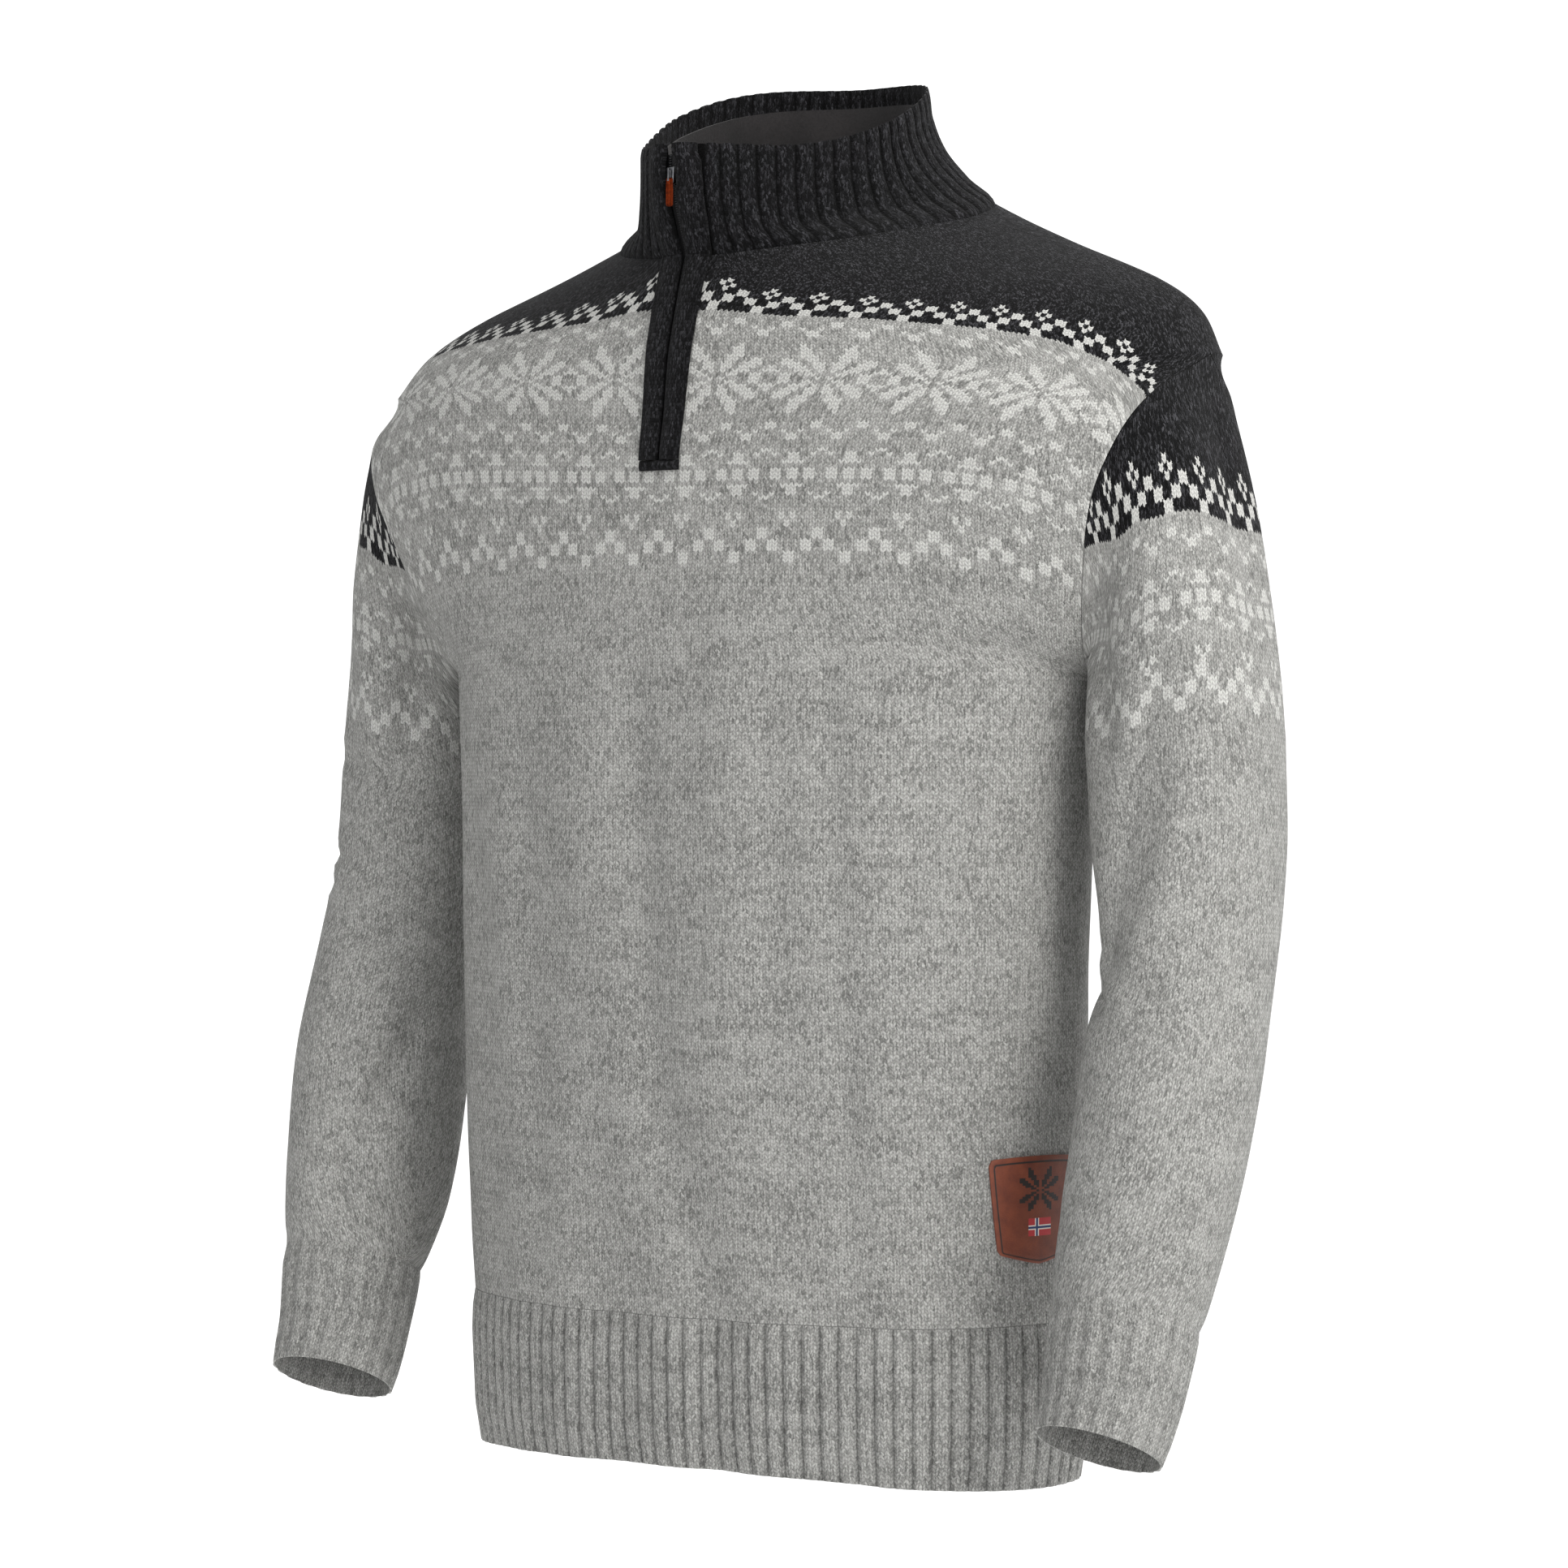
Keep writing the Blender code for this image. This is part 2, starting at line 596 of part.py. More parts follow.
def sleeve_grid(body, folds):
    """Outer and inner grids of the left sleeve, from the armhole down."""
    loop, ways = armhole_loop(body)
    count = len(loop)
    frames = arm_frames(ARM_ROWS)
    turns = [math.tau * j / count for j in range(count)]
    grid = [[outer + way * ARMHOLE_GAP for (outer, _), way in zip(loop, ways)]]
    for step in range(1, CAP_STEPS):
        t = step / CAP_STEPS
        ring = []
        for j, (start, way) in enumerate(zip(grid[0], ways)):
            end = ring_point(frames[0], turns[j])
            raised = (1.0 - math.cos(turns[j])) / 2.0
            lean = Vector((CAP_SPREAD * (1.0 - raised), 0, -CAP_FALL * raised))
            lead = (way.normalized() + lean).normalized()
            reach = CAP_REACH * (end - start).length
            ring.append(
                start * (2 * t ** 3 - 3 * t ** 2 + 1)
                + lead * reach * (t ** 3 - 2 * t ** 2 + t)
                + end * (3 * t ** 2 - 2 * t ** 3)
                + frames[0][3] * reach * (t ** 3 - t ** 2)
            )
        grid.append(ring)
    grid += [[ring_point(frame, turn) for turn in turns] for frame in frames]
    centres = [sum(ring, Vector()) / count for ring in grid]
    normals = grid_normals(grid, True, lambda r, c: grid[r][c] - centres[r])
    last = len(grid) - 1
    for r in range(2, last):
        for j in range(count):
            degrees = math.degrees(turns[j])
            depth = sum(fold_depth(folds, degrees + lap, grid[r][j].z) for lap in (-360, 0, 360))
            grid[r][j] = grid[r][j] + normals[r][j] * depth
    normals = grid_normals(grid, True, lambda r, c: grid[r][c] - centres[r])
    inner = shifted(grid, normals, -KNIT_WALL)
    inner[0] = [inside + way * ARMHOLE_GAP for (_, inside), way in zip(loop, ways)]
    return grid, inner


def cuff_grid(sleeve_outer, sleeve_inner):
    """Outer (ribbed) and inner grids of the left cuff."""
    end_out, end_in, above = sleeve_outer[-1], sleeve_inner[-1], sleeve_outer[-2]
    ways = [(p - q).normalized() for p, q in zip(end_out, above)]
    frames = arm_frames((ARM_ROWS[-1],) + CUFF_ROWS)[1:]
    shares = [i + point.share for i in range(CUFF_RIBS) for point in WIDE_GROOVE]
    heights = [point.height for _ in range(CUFF_RIBS) for point in WIDE_GROOVE]

    def between(ring, position):
        start = int(position) % len(ring)
        return ring[start].lerp(ring[(start + 1) % len(ring)], position - int(position))

    top_out = [p + w * SEAM_GAP for p, w in zip(end_out, ways)]
    outer = [[between(top_out, s) for s in shares]]
    inner = [[p + w * SEAM_GAP for p, w in zip(end_in, ways)]]
    for frame in frames:
        ring = []
        for share, height in zip(shares, heights):
            point = ring_point(frame, math.tau * share / CUFF_RIBS)
            away = (point - frame[0]).normalized()
            ring.append(point + away * height * CUFF_RIB_HEIGHT)
        outer.append(ring)
        plain = []
        for j in range(CUFF_RIBS):
            point = ring_point(frame, math.tau * j / CUFF_RIBS)
            plain.append(point - (point - frame[0]).normalized() * RIB_WALL)
        inner.append(plain)
    return outer, inner


def mirrored(grid):
    return [[Vector((-p.x, p.y, p.z)) for p in row] for row in grid]


# ------------------------------------------------------------- hem and collar

def hem_grid(panel_outer, panel_inner):
    """Outer (ribbed) and inner grids of one half of the hem rib."""
    chain_out, chain_in = panel_outer[0], panel_inner[0]
    shares = [(i + point.share) / HEM_RIBS_EACH for i in range(HEM_RIBS_EACH) for point in NARROW_GROOVE]
    heights = [point.height for _ in range(HEM_RIBS_EACH) for point in NARROW_GROOVE]
    shares.append(1.0)
    heights.append(0.0)
    inner_shares = [i / HEM_RIBS_EACH for i in range(HEM_RIBS_EACH + 1)]
    top_out = [point_on(chain_out, s) for s in shares]
    top_in = [matched(chain_out, chain_in, s) for s in inner_shares]
    base = [p + Vector((0, 0, -SEAM_GAP)) for p in top_out]
    outer = [base]
    inner = [[p + Vector((0, 0, -SEAM_GAP)) for p in top_in]]
    outs = [(p - matched(chain_out, chain_in, s)).normalized() for p, s in zip(top_out, shares)]
    inner_outs = [
        (point_on(chain_out, s) - matched(chain_out, chain_in, s)).normalized() for s in inner_shares
    ]
    for away in outs + inner_outs:
        away.z = 0.0
        away.normalize()
    width = abs(chain_out[0].x)
    deepest = HEM_ROWS[-1].drop

    def fall(point, hem_row):
        """Straight down, a little further at the sides."""
        side = HEM_SIDE_DROP * (point.x / width) ** 2 * hem_row.drop / deepest
        return Vector((0, 0, -hem_row.drop - side))

    for hem_row in HEM_ROWS:
        outer.append([
            p + fall(p, hem_row) + away * (height * HEM_RIB_HEIGHT - hem_row.draw_in)
            for p, away, height in zip(top_out, outs, heights)
        ])
        ring = []
        for s, away in zip(inner_shares, inner_outs):
            p = point_on(chain_out, s)
            ring.append(p + fall(p, hem_row) - away * (RIB_WALL + hem_row.draw_in))
        inner.append(ring)
    return outer, inner


def neck_chain(body):
    """The neck edge from the left side of the slit round the back to the right.

    Each entry is the outer point, the inner point and the way up the cloth.
    """
    front, front_inner, _ = body["front"]
    back, back_inner, _ = body["back"]
    half = len(front[0]) // 2

    def entry(outer, inner, column):
        way = (outer[-1][column] - outer[-2][column]).normalized()
        return (outer[-1][column], inner[-1][column], way)

    left = [entry(front, front_inner, c) for c in range(half, len(front[0]))]
    right = [entry(front, front_inner, c) for c in range(half)]
    behind = [entry(back, back_inner, c) for c in reversed(range(len(back[0])))]
    left_join = tuple((a + b) / 2.0 for a, b in zip(left[-1], behind[0]))
    right_join = tuple((a + b) / 2.0 for a, b in zip(behind[-1], right[0]))
    return left[:-1] + [left_join] + behind[1:-1] + [right_join] + right[1:]


def collar_top_point(turn):
    """The collar's rim: round behind, drawn to a prow and lower in front.

    turn is measured from the front over the wearer's left.
    """
    ahead = math.cos(turn) > 0.0
    power = COLLAR_PROW_POWER if ahead else 1.0
    depth = COLLAR_FRONT_DEPTH if ahead else COLLAR_BACK_DEPTH
    x = COLLAR_HALF_WIDTH * signed_power(math.sin(turn), power)
    y = -depth * signed_power(math.cos(turn), power)
    height = COLLAR_FRONT_TOP + COLLAR_RISE * smooth_step((y - COLLAR_RISE_START) / COLLAR_RISE_LENGTH)
    if x < 0.0:
        height += COLLAR_RIGHT_LIFT * (x / COLLAR_HALF_WIDTH) ** 2
    return Vector((x, y, height))


def rim_turn(distance):
    """The turn of the collar's rim at a small distance from the centre line."""
    return math.asin((distance / COLLAR_HALF_WIDTH) ** (1.0 / COLLAR_PROW_POWER))


def flare_left(row, turn):
    """How much of the neck edge's flare a collar row keeps at one turn."""
    from_front = min(turn, math.tau - turn)
    if from_front < FLANK_TURN:
        return row.front + (row.flank - row.front) * smooth_step(from_front / FLANK_TURN)
    share = smooth_step((from_front - FLANK_TURN) / (REST_TURN - FLANK_TURN))
    return row.flank + (row.rest - row.flank) * share


def collar_stations(chain):
    """Shares along the neck edge and the rim for every rib and band ground."""
    lengths = chain_lengths([entry[0] for entry in chain])
    ground = lengths[1] / lengths[-1]
    ribs = [ground + (1.0 - 2.0 * ground) * i / COLLAR_RIBS for i in range(COLLAR_RIBS + 1)]
    slit_turn, ground_turn = rim_turn(SLIT_HALF), rim_turn(BAND_GROUND)
    span = math.tau - 2.0 * ground_turn
    turns = [ground_turn + span * i / COLLAR_RIBS for i in range(COLLAR_RIBS + 1)]
    return [0.0] + ribs + [1.0], [slit_turn] + turns + [math.tau - slit_turn]


def collar_grids(body):
    """Outer (ribbed) and inner grids of the collar, and its ring positions."""
    chain = neck_chain(body)
    outs, ins, ways = ([entry[k] for entry in chain] for k in range(3))
    shares, turns = collar_stations(chain)
    stations = []
    for cell in range(len(shares) - 1):
        plain = cell in (0, len(shares) - 2)
        for point in NARROW_GROOVE:
            share = shares[cell] + (shares[cell + 1] - shares[cell]) * point.share
            turn = turns[cell] + (turns[cell + 1] - turns[cell]) * point.share
            stations.append((share, turn, 0.0 if plain else point.height))
    stations.append((shares[-1], turns[-1], 0.0))
    bases = [point_on(outs, s) for s, _, _ in stations]
    lifts = [matched(outs, ways, s).normalized() for s, _, _ in stations]
    first = [b + w * SEAM_GAP for b, w in zip(bases, lifts)]
    smooth = [first]
    for row in COLLAR_ROWS:
        ring = []
        for base, (_, turn, _) in zip(bases, stations):
            top = collar_top_point(turn)
            point = top.lerp(base, flare_left(row, turn))
            point.z = base.z + (top.z - base.z) * row.rise
            ring.append(point)
        smooth.append(ring)
    fine = len(NARROW_GROOVE)
    for ring in smooth:
        for first in (0, len(ring) - 1 - fine):
            start, end = ring[first], ring[first + fine]
            for k in range(1, fine):
                ring[first + k] = start.lerp(end, k / fine)

    def away(r, c):
        point = smooth[r][c]
        return Vector((point.x, point.y, 0.0))

    normals = grid_normals(smooth, False, away)
    outer, inner = [], []
    for r, ring in enumerate(smooth):
        row = COLLAR_ROWS[r - 1] if r else None
        height = COLLAR_RIB_HEIGHT if r else 0.0
        shrink = row.shrink if row else 0.0
        outer.append([
            p + n * (height * station[2] - shrink)
            for p, n, station in zip(ring, normals[r], stations)
        ])
        inner.append([ring[k] - normals[r][k] * (RIB_WALL - shrink) for k in range(0, len(ring), fine)])
    inner[0] = [
        matched(outs, ins, stations[k][0]) + lifts[k] * SEAM_GAP for k in range(0, len(stations), fine)
    ]
    return outer, inner, smooth, normals


def lining_grids(collar_inner):
    """The fleece inside the collar, from below its rim down to its base."""
    columns = range(1, len(collar_inner[0]) - 1)
    foot = [collar_inner[0][c].lerp(collar_inner[1][c], LINING_FOOT_SHARE) for c in columns]
    rings = [foot] + [[collar_inner[r][c] for c in columns] for r in range(1, LINING_ROWS + 1)]
    normals = grid_normals(rings, False, lambda r, c: Vector((rings[r][c].x, rings[r][c].y, 0.0)))
    rings[0] = [p - n * LINING_FOOT_EASE for p, n in zip(rings[0], normals[0])]
    outer = shifted(rings, normals, -SEAM_GAP)
    inner = shifted(rings, normals, -SEAM_GAP - LINING_WALL)
    return outer, inner


# ------------------------------------------------------ placket, zip and patch

def ground_rows(body, collar, side):
    """The flat ground under one band: edge, far side and normal per row.

    side is 1 for the wearer's left; the right is given as its mirror image.
    """
    front, _, normals = body["front"]
    _, _, smooth, collar_normals = collar
    half = len(front[0]) // 2
    fine = len(NARROW_GROOVE)
    near, far = (half, half + 1) if side > 0 else (half - 1, half - 2)
    rim_near, rim_far = (0, fine) if side > 0 else (-1, -1 - fine)
    rows = []
    for r in range(slit_foot_row(), len(front)):
        rows.append((front[r][near], front[r][far], normals[r][near]))
    for r in range(1, len(smooth)):
        rows.append((smooth[r][rim_near], smooth[r][rim_far], collar_normals[r][rim_near]))
    if side > 0:
        return rows
    return [tuple(Vector((-v.x, v.y, v.z)) for v in row) for row in rows]


def band_row(height):
    """The band's parting and width at a height."""
    for low, high in zip(BAND_ROWS, BAND_ROWS[1:]):
        if height <= high.height:
            share = smooth_step((height - low.height) / (high.height - low.height))
            parting = low.parting + (high.parting - low.parting) * share
            return parting, low.width + (high.width - low.width) * share
    return BAND_ROWS[-1].parting, BAND_ROWS[-1].width


def band_grids(rows):
    outer, inner = [], []
    for edge, far, normal in rows:
        across = (far - edge).normalized()
        parting, width = band_row(edge.z)
        start = edge + across * (parting - SLIT_HALF) / across.x
        end = start + across * width
        ground, ring = [], []
        for point in BAND_PROFILE:
            thick = BAND_EDGE_THICK + (BAND_THICK - BAND_EDGE_THICK) * point.height
            ground.append(start.lerp(end, point.share) + normal * BAND_GAP)
            ring.append(ground[-1] + normal * thick)
        outer.append(ring)
        inner.append(ground)
    return outer, inner


def placket_foot_mesh(body):
    """The short bar across the foot of both bands."""
    front, _, normals = body["front"]
    half = len(front[0]) // 2
    row = slit_foot_row()
    normal = (normals[row][half] + normals[row][half - 1]).normalized()
    down = (front[row - 1][half] - front[row][half]).normalized()
    reach = sum(band_row(front[row][half].z))
    top = Vector((0.0, front[row][half].y, front[row][half].z)) + down * SEAM_GAP
    outer, inner = [], []
    for row in FOOT_ROWS:
        start = top + down * row.drop + normal * SEAM_GAP
        line = [start + Vector((side * reach, 0, 0)) for side in (-1.0, 0.0, 1.0)]
        inner.append(line)
        outer.append([p + normal * row.thick for p in line])
    return wall_mesh("placket_foot", outer, inner)


def tape_grids(body, collar):
    """The zip tape, behind the slit from below its foot to near the rim."""
    front, front_inner, normals = body["front"]
    _, collar_inner, _, collar_normals = collar
    half = len(front[0]) // 2
    rows = []
    for r in range(slit_foot_row() - 1, len(front)):
        rows.append((front_inner[r][half], front_inner[r][half + 1], normals[r][half]))
    for r in range(1, len(collar_inner) - 1):
        rows.append((collar_inner[r][0], collar_inner[r][1], collar_normals[r][0]))
    outer, inner = [], []
    for edge, far, normal in rows:
        inward = Vector((0.0, -normal.y, -normal.z)).normalized()
        beside = edge.lerp(far, (TAPE_HALF - edge.x) / (far.x - edge.x)) + inward * TAPE_GAP
        ridge = Vector((0.0, edge.y, edge.z)) + inward * TAPE_GAP
        line = [Vector((-beside.x, beside.y, beside.z)), ridge, beside]
        outer.append(line)
        inner.append([p + inward * TAPE_WALL for p in line])
    return outer, inner


def box_bmesh(centre, size):
    bm = bmesh.new()
    bmesh.ops.create_cube(bm, size=1.0)
    matrix = Matrix.Translation(centre) @ Matrix.Diagonal((size[0], size[1], size[2], 1.0))
    bmesh.ops.transform(bm, matrix=matrix, verts=bm.verts)
    return bm


def box_object(name, centre, size, material, collection):
    bm = box_bmesh(centre, size)
    return new_object(name, finish_mesh(name, bm), material, collection)


def boolean(target, cutter, operation):
    modifier = target.modifiers.new(cutter.name, "BOOLEAN")
    modifier.operation = operation
    modifier.object = cutter
    cutter.display_type = "WIRE"
    cutter.hide_render = True


def hinge_axis():
    """Where the pull tab's top bar lies, in the slider's bridge."""
    face = SLIDER_CENTRE.y - SLIDER_SIZE.y / 2.0
    slot = BRIDGE_REACH - BRIDGE_BAR
    foot = SLIDER_CENTRE.z - BRIDGE_HEIGHT / 2.0
    return Vector((0.0, face - slot / 2.0, foot + BRIDGE_BAR + SEAM_GAP + TAB_THICK / 2.0))


def add_slider(material, collection, cutters):
    slider = box_object("zip_slider", SLIDER_CENTRE, SLIDER_SIZE, material, collection)
    face = SLIDER_CENTRE.y - SLIDER_SIZE.y / 2.0
    bridge_centre = Vector((0.0, face - BRIDGE_REACH / 2.0 + BRIDGE_ROOT / 2.0, SLIDER_CENTRE.z))
    bridge_size = (BRIDGE_WIDTH, BRIDGE_REACH + BRIDGE_ROOT, BRIDGE_HEIGHT)
    bridge = box_object("bridge_block", bridge_centre, bridge_size, material, cutters)
    slot = BRIDGE_REACH - BRIDGE_BAR
    slot_centre = Vector((0.0, face - slot / 2.0, SLIDER_CENTRE.z))
    slot_size = (SLIDER_SIZE.x, slot, BRIDGE_HEIGHT - 2.0 * BRIDGE_BAR)
    window = box_object("bridge_window", slot_centre, slot_size, material, cutters)
    boolean(slider, bridge, "UNION")
    boolean(slider, window, "DIFFERENCE")
    return slider


def add_pull_tab(material, collection, cutters):
    """The hanging tab; its object's origin is on the hinge axis."""
    top = TAB_THICK / 2.0
    centre = Vector((0.0, 0.0, top - TAB_LENGTH / 2.0))
    tab = box_object("zip_pull", centre, (TAB_WIDTH, TAB_THICK, TAB_LENGTH), material, collection)
    window_centre = Vector((0.0, 0.0, -top - TAB_WINDOW_LENGTH / 2.0))
    window_size = (TAB_WINDOW_WIDTH, 4.0 * TAB_THICK, TAB_WINDOW_LENGTH)
    window = box_object("tab_window", window_centre, window_size, material, cutters)
    tab.location = hinge_axis()
    window.location = hinge_axis()
    boolean(tab, window, "DIFFERENCE")
    return tab


def patch_grids(body):
    """The leather patch, made from the front panel's points moved out."""
    front, _, normals = body["front"]
    half = len(front[0]) // 2
    columns = range(half + PATCH_COLUMNS[0] - 1, half + PATCH_COLUMNS[1])
    foot, head = PATCH_ROWS
    outer, inner = [], []
    for row in PATCH_SHAPE:
        line, base = [], []
        for index, c in enumerate(columns):
            from_middle = abs(2.0 * index / (len(columns) - 1) - 1.0)
            share = row.middle + (row.side - row.middle) * from_middle
            normal = normals[foot][c].lerp(normals[head][c], share).normalized()
            base.append(front[foot][c].lerp(front[head][c], share) + normal * SEAM_GAP)
            line.append(base[-1] + normal * PATCH_WALL)
        inner.append(base)
        outer.append(line)
    return outer, inner


# ------------------------------------------------------------------- assembly

def clear_scene():
    for item in list(bpy.data.objects):
        bpy.data.objects.remove(item, do_unlink=True)


def new_collection(name):
    collection = bpy.data.collections.new(name)
    bpy.context.scene.collection.children.link(collection)
    return collection


def new_material(name, colour, roughness, metallic=0.0):
    material = bpy.data.materials.new(name)
    material.use_nodes = True
    shader = material.node_tree.nodes["Principled BSDF"]
    shader.inputs["Base Color"].default_value = (*colour, 1.0)
    shader.inputs["Roughness"].default_value = roughness
    shader.inputs["Metallic"].default_value = metallic
    return material


def new_materials():
    return {
        "marl": new_material("marl knit", COLOURS["marl"], 0.95),
        "charcoal": new_material("charcoal knit", COLOURS["charcoal"], 0.95),
        "fleece": new_material("collar fleece", COLOURS["fleece"], 0.9),
        "leather": new_material("patch leather", COLOURS["leather"], 0.6),
        "silver": new_material("zip metal", COLOURS["silver"], 0.3, 1.0),
        "tape": new_material("zip tape", COLOURS["tape"], 0.8),
        "rust": new_material("pull tab", COLOURS["rust"], 0.55),
    }


def build_sweater():
    clear_scene()
    sweater = new_collection("nordic_yoke_sweater")
    cutters = new_collection("cutters")
    look = new_materials()
    body = body_grids()

    def add(name, outer, inner, material, closed=False, cut=()):
        new_object(name, wall_mesh(name, outer, inner, closed, cut), look[material], sweater)

    front, front_inner, _ = body["front"]
    back, back_inner, _ = body["back"]
    half = len(front[0]) // 2
    slit = [(r, half - 1) for r in range(slit_foot_row(), len(front) - 1)]
    add("front", front, front_inner, "marl", cut=slit)
    add("back", back, back_inner, "marl")
    add("hem_rib_front", *hem_grid(front, front_inner), "marl")
    add("hem_rib_back", *hem_grid(back, back_inner), "marl")

    sleeve, sleeve_inner = sleeve_grid(body, LEFT_SLEEVE_FOLDS)
    cuff, cuff_inner = cuff_grid(sleeve, sleeve_inner)
    add("sleeve_left", sleeve, sleeve_inner, "marl", closed=True)
    add("cuff_left", cuff, cuff_inner, "marl", closed=True)
    sleeve, sleeve_inner = sleeve_grid(body, RIGHT_SLEEVE_FOLDS)
    cuff, cuff_inner = cuff_grid(sleeve, sleeve_inner)
    add("sleeve_right", mirrored(sleeve), mirrored(sleeve_inner), "marl", closed=True)
    add("cuff_right", mirrored(cuff), mirrored(cuff_inner), "marl", closed=True)

    collar = collar_grids(body)
    add("collar", collar[0], collar[1], "charcoal")
    add("collar_lining", *lining_grids(collar[1]), "fleece")

    band, band_ground = band_grids(ground_rows(body, collar, 1))
    add("placket_left", band, band_ground, "charcoal")
    band, band_ground = band_grids(ground_rows(body, collar, -1))
    add("placket_right", mirrored(band), mirrored(band_ground), "charcoal")
    new_object("placket_foot", placket_foot_mesh(body), look["charcoal"], sweater)
    add("zip_tape", *tape_grids(body, collar), "tape")
    add_slider(look["silver"], sweater, cutters)
    add_pull_tab(look["rust"], sweater, cutters)
    add("patch", *patch_grids(body), "leather")


build_sweater()
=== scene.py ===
import json
import math
from collections import namedtuple

import bmesh
import bpy
from mathutils import Matrix, Vector, noise

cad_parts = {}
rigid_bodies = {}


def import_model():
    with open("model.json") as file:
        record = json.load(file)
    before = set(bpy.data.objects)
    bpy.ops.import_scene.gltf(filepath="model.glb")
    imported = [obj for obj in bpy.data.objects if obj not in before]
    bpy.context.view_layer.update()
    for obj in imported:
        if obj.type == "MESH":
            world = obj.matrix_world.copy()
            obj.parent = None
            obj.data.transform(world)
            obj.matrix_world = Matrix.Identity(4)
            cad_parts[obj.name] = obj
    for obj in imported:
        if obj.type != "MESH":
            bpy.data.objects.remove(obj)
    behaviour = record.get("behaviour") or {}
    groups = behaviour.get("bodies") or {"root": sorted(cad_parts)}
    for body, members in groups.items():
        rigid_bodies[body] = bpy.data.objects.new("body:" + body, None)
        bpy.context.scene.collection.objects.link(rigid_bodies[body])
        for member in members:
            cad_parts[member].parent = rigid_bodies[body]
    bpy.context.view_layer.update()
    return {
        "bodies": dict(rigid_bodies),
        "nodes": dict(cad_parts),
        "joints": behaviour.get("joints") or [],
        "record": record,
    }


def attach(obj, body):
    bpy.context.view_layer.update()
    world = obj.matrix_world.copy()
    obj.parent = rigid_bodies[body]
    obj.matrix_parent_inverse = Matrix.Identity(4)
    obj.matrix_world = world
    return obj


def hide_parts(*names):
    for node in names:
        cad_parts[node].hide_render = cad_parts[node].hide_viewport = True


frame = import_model()
bpy.ops.object.select_all(action="DESELECT")

# ---- studio

studio = {
    "azimuth": 33.0, "height": -0.33, "distance": 2.47, "lens": 100.0,
    "floorHeight": -1.30, "floorRadius": 14.0, "floorGlow": 0.12, "backdrop": "#FFFFFF",
    "worldStrength": 1.19,
    # the world is darker on the wearer's right: which way, how near to that way the
    # shade starts and is full, and the share of the light that is left there
    "shadeWay": (-0.95, -0.30, 0.0), "shadeStart": 0.46, "shadeEnd": 0.92, "shadeShare": 0.10,
    "lights": (  # name, azimuth, elevation, distance, size, watts, colour
        ("keyLight", 73.0, 34.0, 2.6, 0.9, 46.0, "#FFFDFA"),
        ("topLight", 30.0, 80.0, 2.4, 1.4, 8.0, "#FFFFFF"),
        ("backLight", 210.0, 30.0, 3.0, 1.6, 10.0, "#FFFFFF"),
    ),
}


def hexColour(text):  # sRGB hex to the linear colour that Blender's sockets take
    parts = [int(text[i:i + 2], 16) / 255.0 for i in (1, 3, 5)]
    return tuple(p / 12.92 if p <= 0.04045 else ((p + 0.055) / 1.055) ** 2.4 for p in parts) + (1.0,)


def addNode(tree, kind, inputs=None, out=0, **settings):  # adds one node, gives back one of its outputs
    node = tree.nodes.new(kind)
    for name, value in settings.items():
        setattr(node, name, value)
    for key, value in (inputs or {}).items():
        if isinstance(value, bpy.types.NodeSocket):
            tree.links.new(value, node.inputs[key])
        else:
            node.inputs[key].default_value = value
    return node.outputs[out]


def calculated(kind, operation, values, **settings):  # in the tree of the first socket among the values
    tree = next(value.id_data for value in values if isinstance(value, bpy.types.NodeSocket))
    return addNode(tree, kind, dict(enumerate(values)), operation=operation, **settings)


def maths(operation, *values, clamp=False):
    return calculated("ShaderNodeMath", operation, values, use_clamp=clamp)


def vectorMaths(operation, *values, out=0):
    return calculated("ShaderNodeVectorMath", operation, values, out=out)


def ranged(value, low, high, atLow=0.0, atHigh=1.0):
    return addNode(value.id_data, "ShaderNodeMapRange", {0: value, 1: low, 2: high, 3: atLow, 4: atHigh})


def aimed(position, target):
    return (Vector(target) - Vector(position)).to_track_quat("-Z", "Y").to_euler()


def aroundBody(azimuth, elevation, distance):
    a, e = math.radians(azimuth), math.radians(elevation)
    way = Vector((math.sin(a) * math.cos(e), -math.cos(a) * math.cos(e), math.sin(e)))
    return Vector((0, 0, studio["height"])) + way * distance


cameraData = bpy.data.cameras.new("camera")
cameraData.lens = studio["lens"]
cameraData.sensor_width = 36.0
camera = bpy.data.objects.new("camera", cameraData)
camera.location = aroundBody(studio["azimuth"], 0.0, studio["distance"])
camera.rotation_euler = aimed(camera.location, (0, 0, studio["height"]))
bpy.context.scene.collection.objects.link(camera)
bpy.context.scene.camera = camera
bpy.context.scene.view_settings.view_transform = "Standard"

for name, azimuth, elevation, distance, size, watts, colour in studio["lights"]:
    lightData = bpy.data.lights.new(name, "AREA")
    lightData.size = size
    lightData.energy = watts
    lightData.color = hexColour(colour)[:3]
    light = bpy.data.objects.new(name, lightData)
    light.location = aroundBody(azimuth, elevation, distance)
    light.rotation_euler = aimed(light.location, (0, 0, studio["height"]))
    bpy.context.scene.collection.objects.link(light)

world = bpy.data.worlds.new("studioWorld")
bpy.context.scene.world = world
world.use_nodes = True
background = world.node_tree.nodes["Background"].inputs
background["Color"].default_value = hexColour(studio["backdrop"])
way = addNode(world.node_tree, "ShaderNodeTexCoord")
nearness = vectorMaths("DOT_PRODUCT", way, studio["shadeWay"], out=1)
strength = ranged(
    nearness, studio["shadeStart"], studio["shadeEnd"],
    studio["worldStrength"], studio["worldStrength"] * studio["shadeShare"],
)
world.node_tree.links.new(strength, background["Strength"])

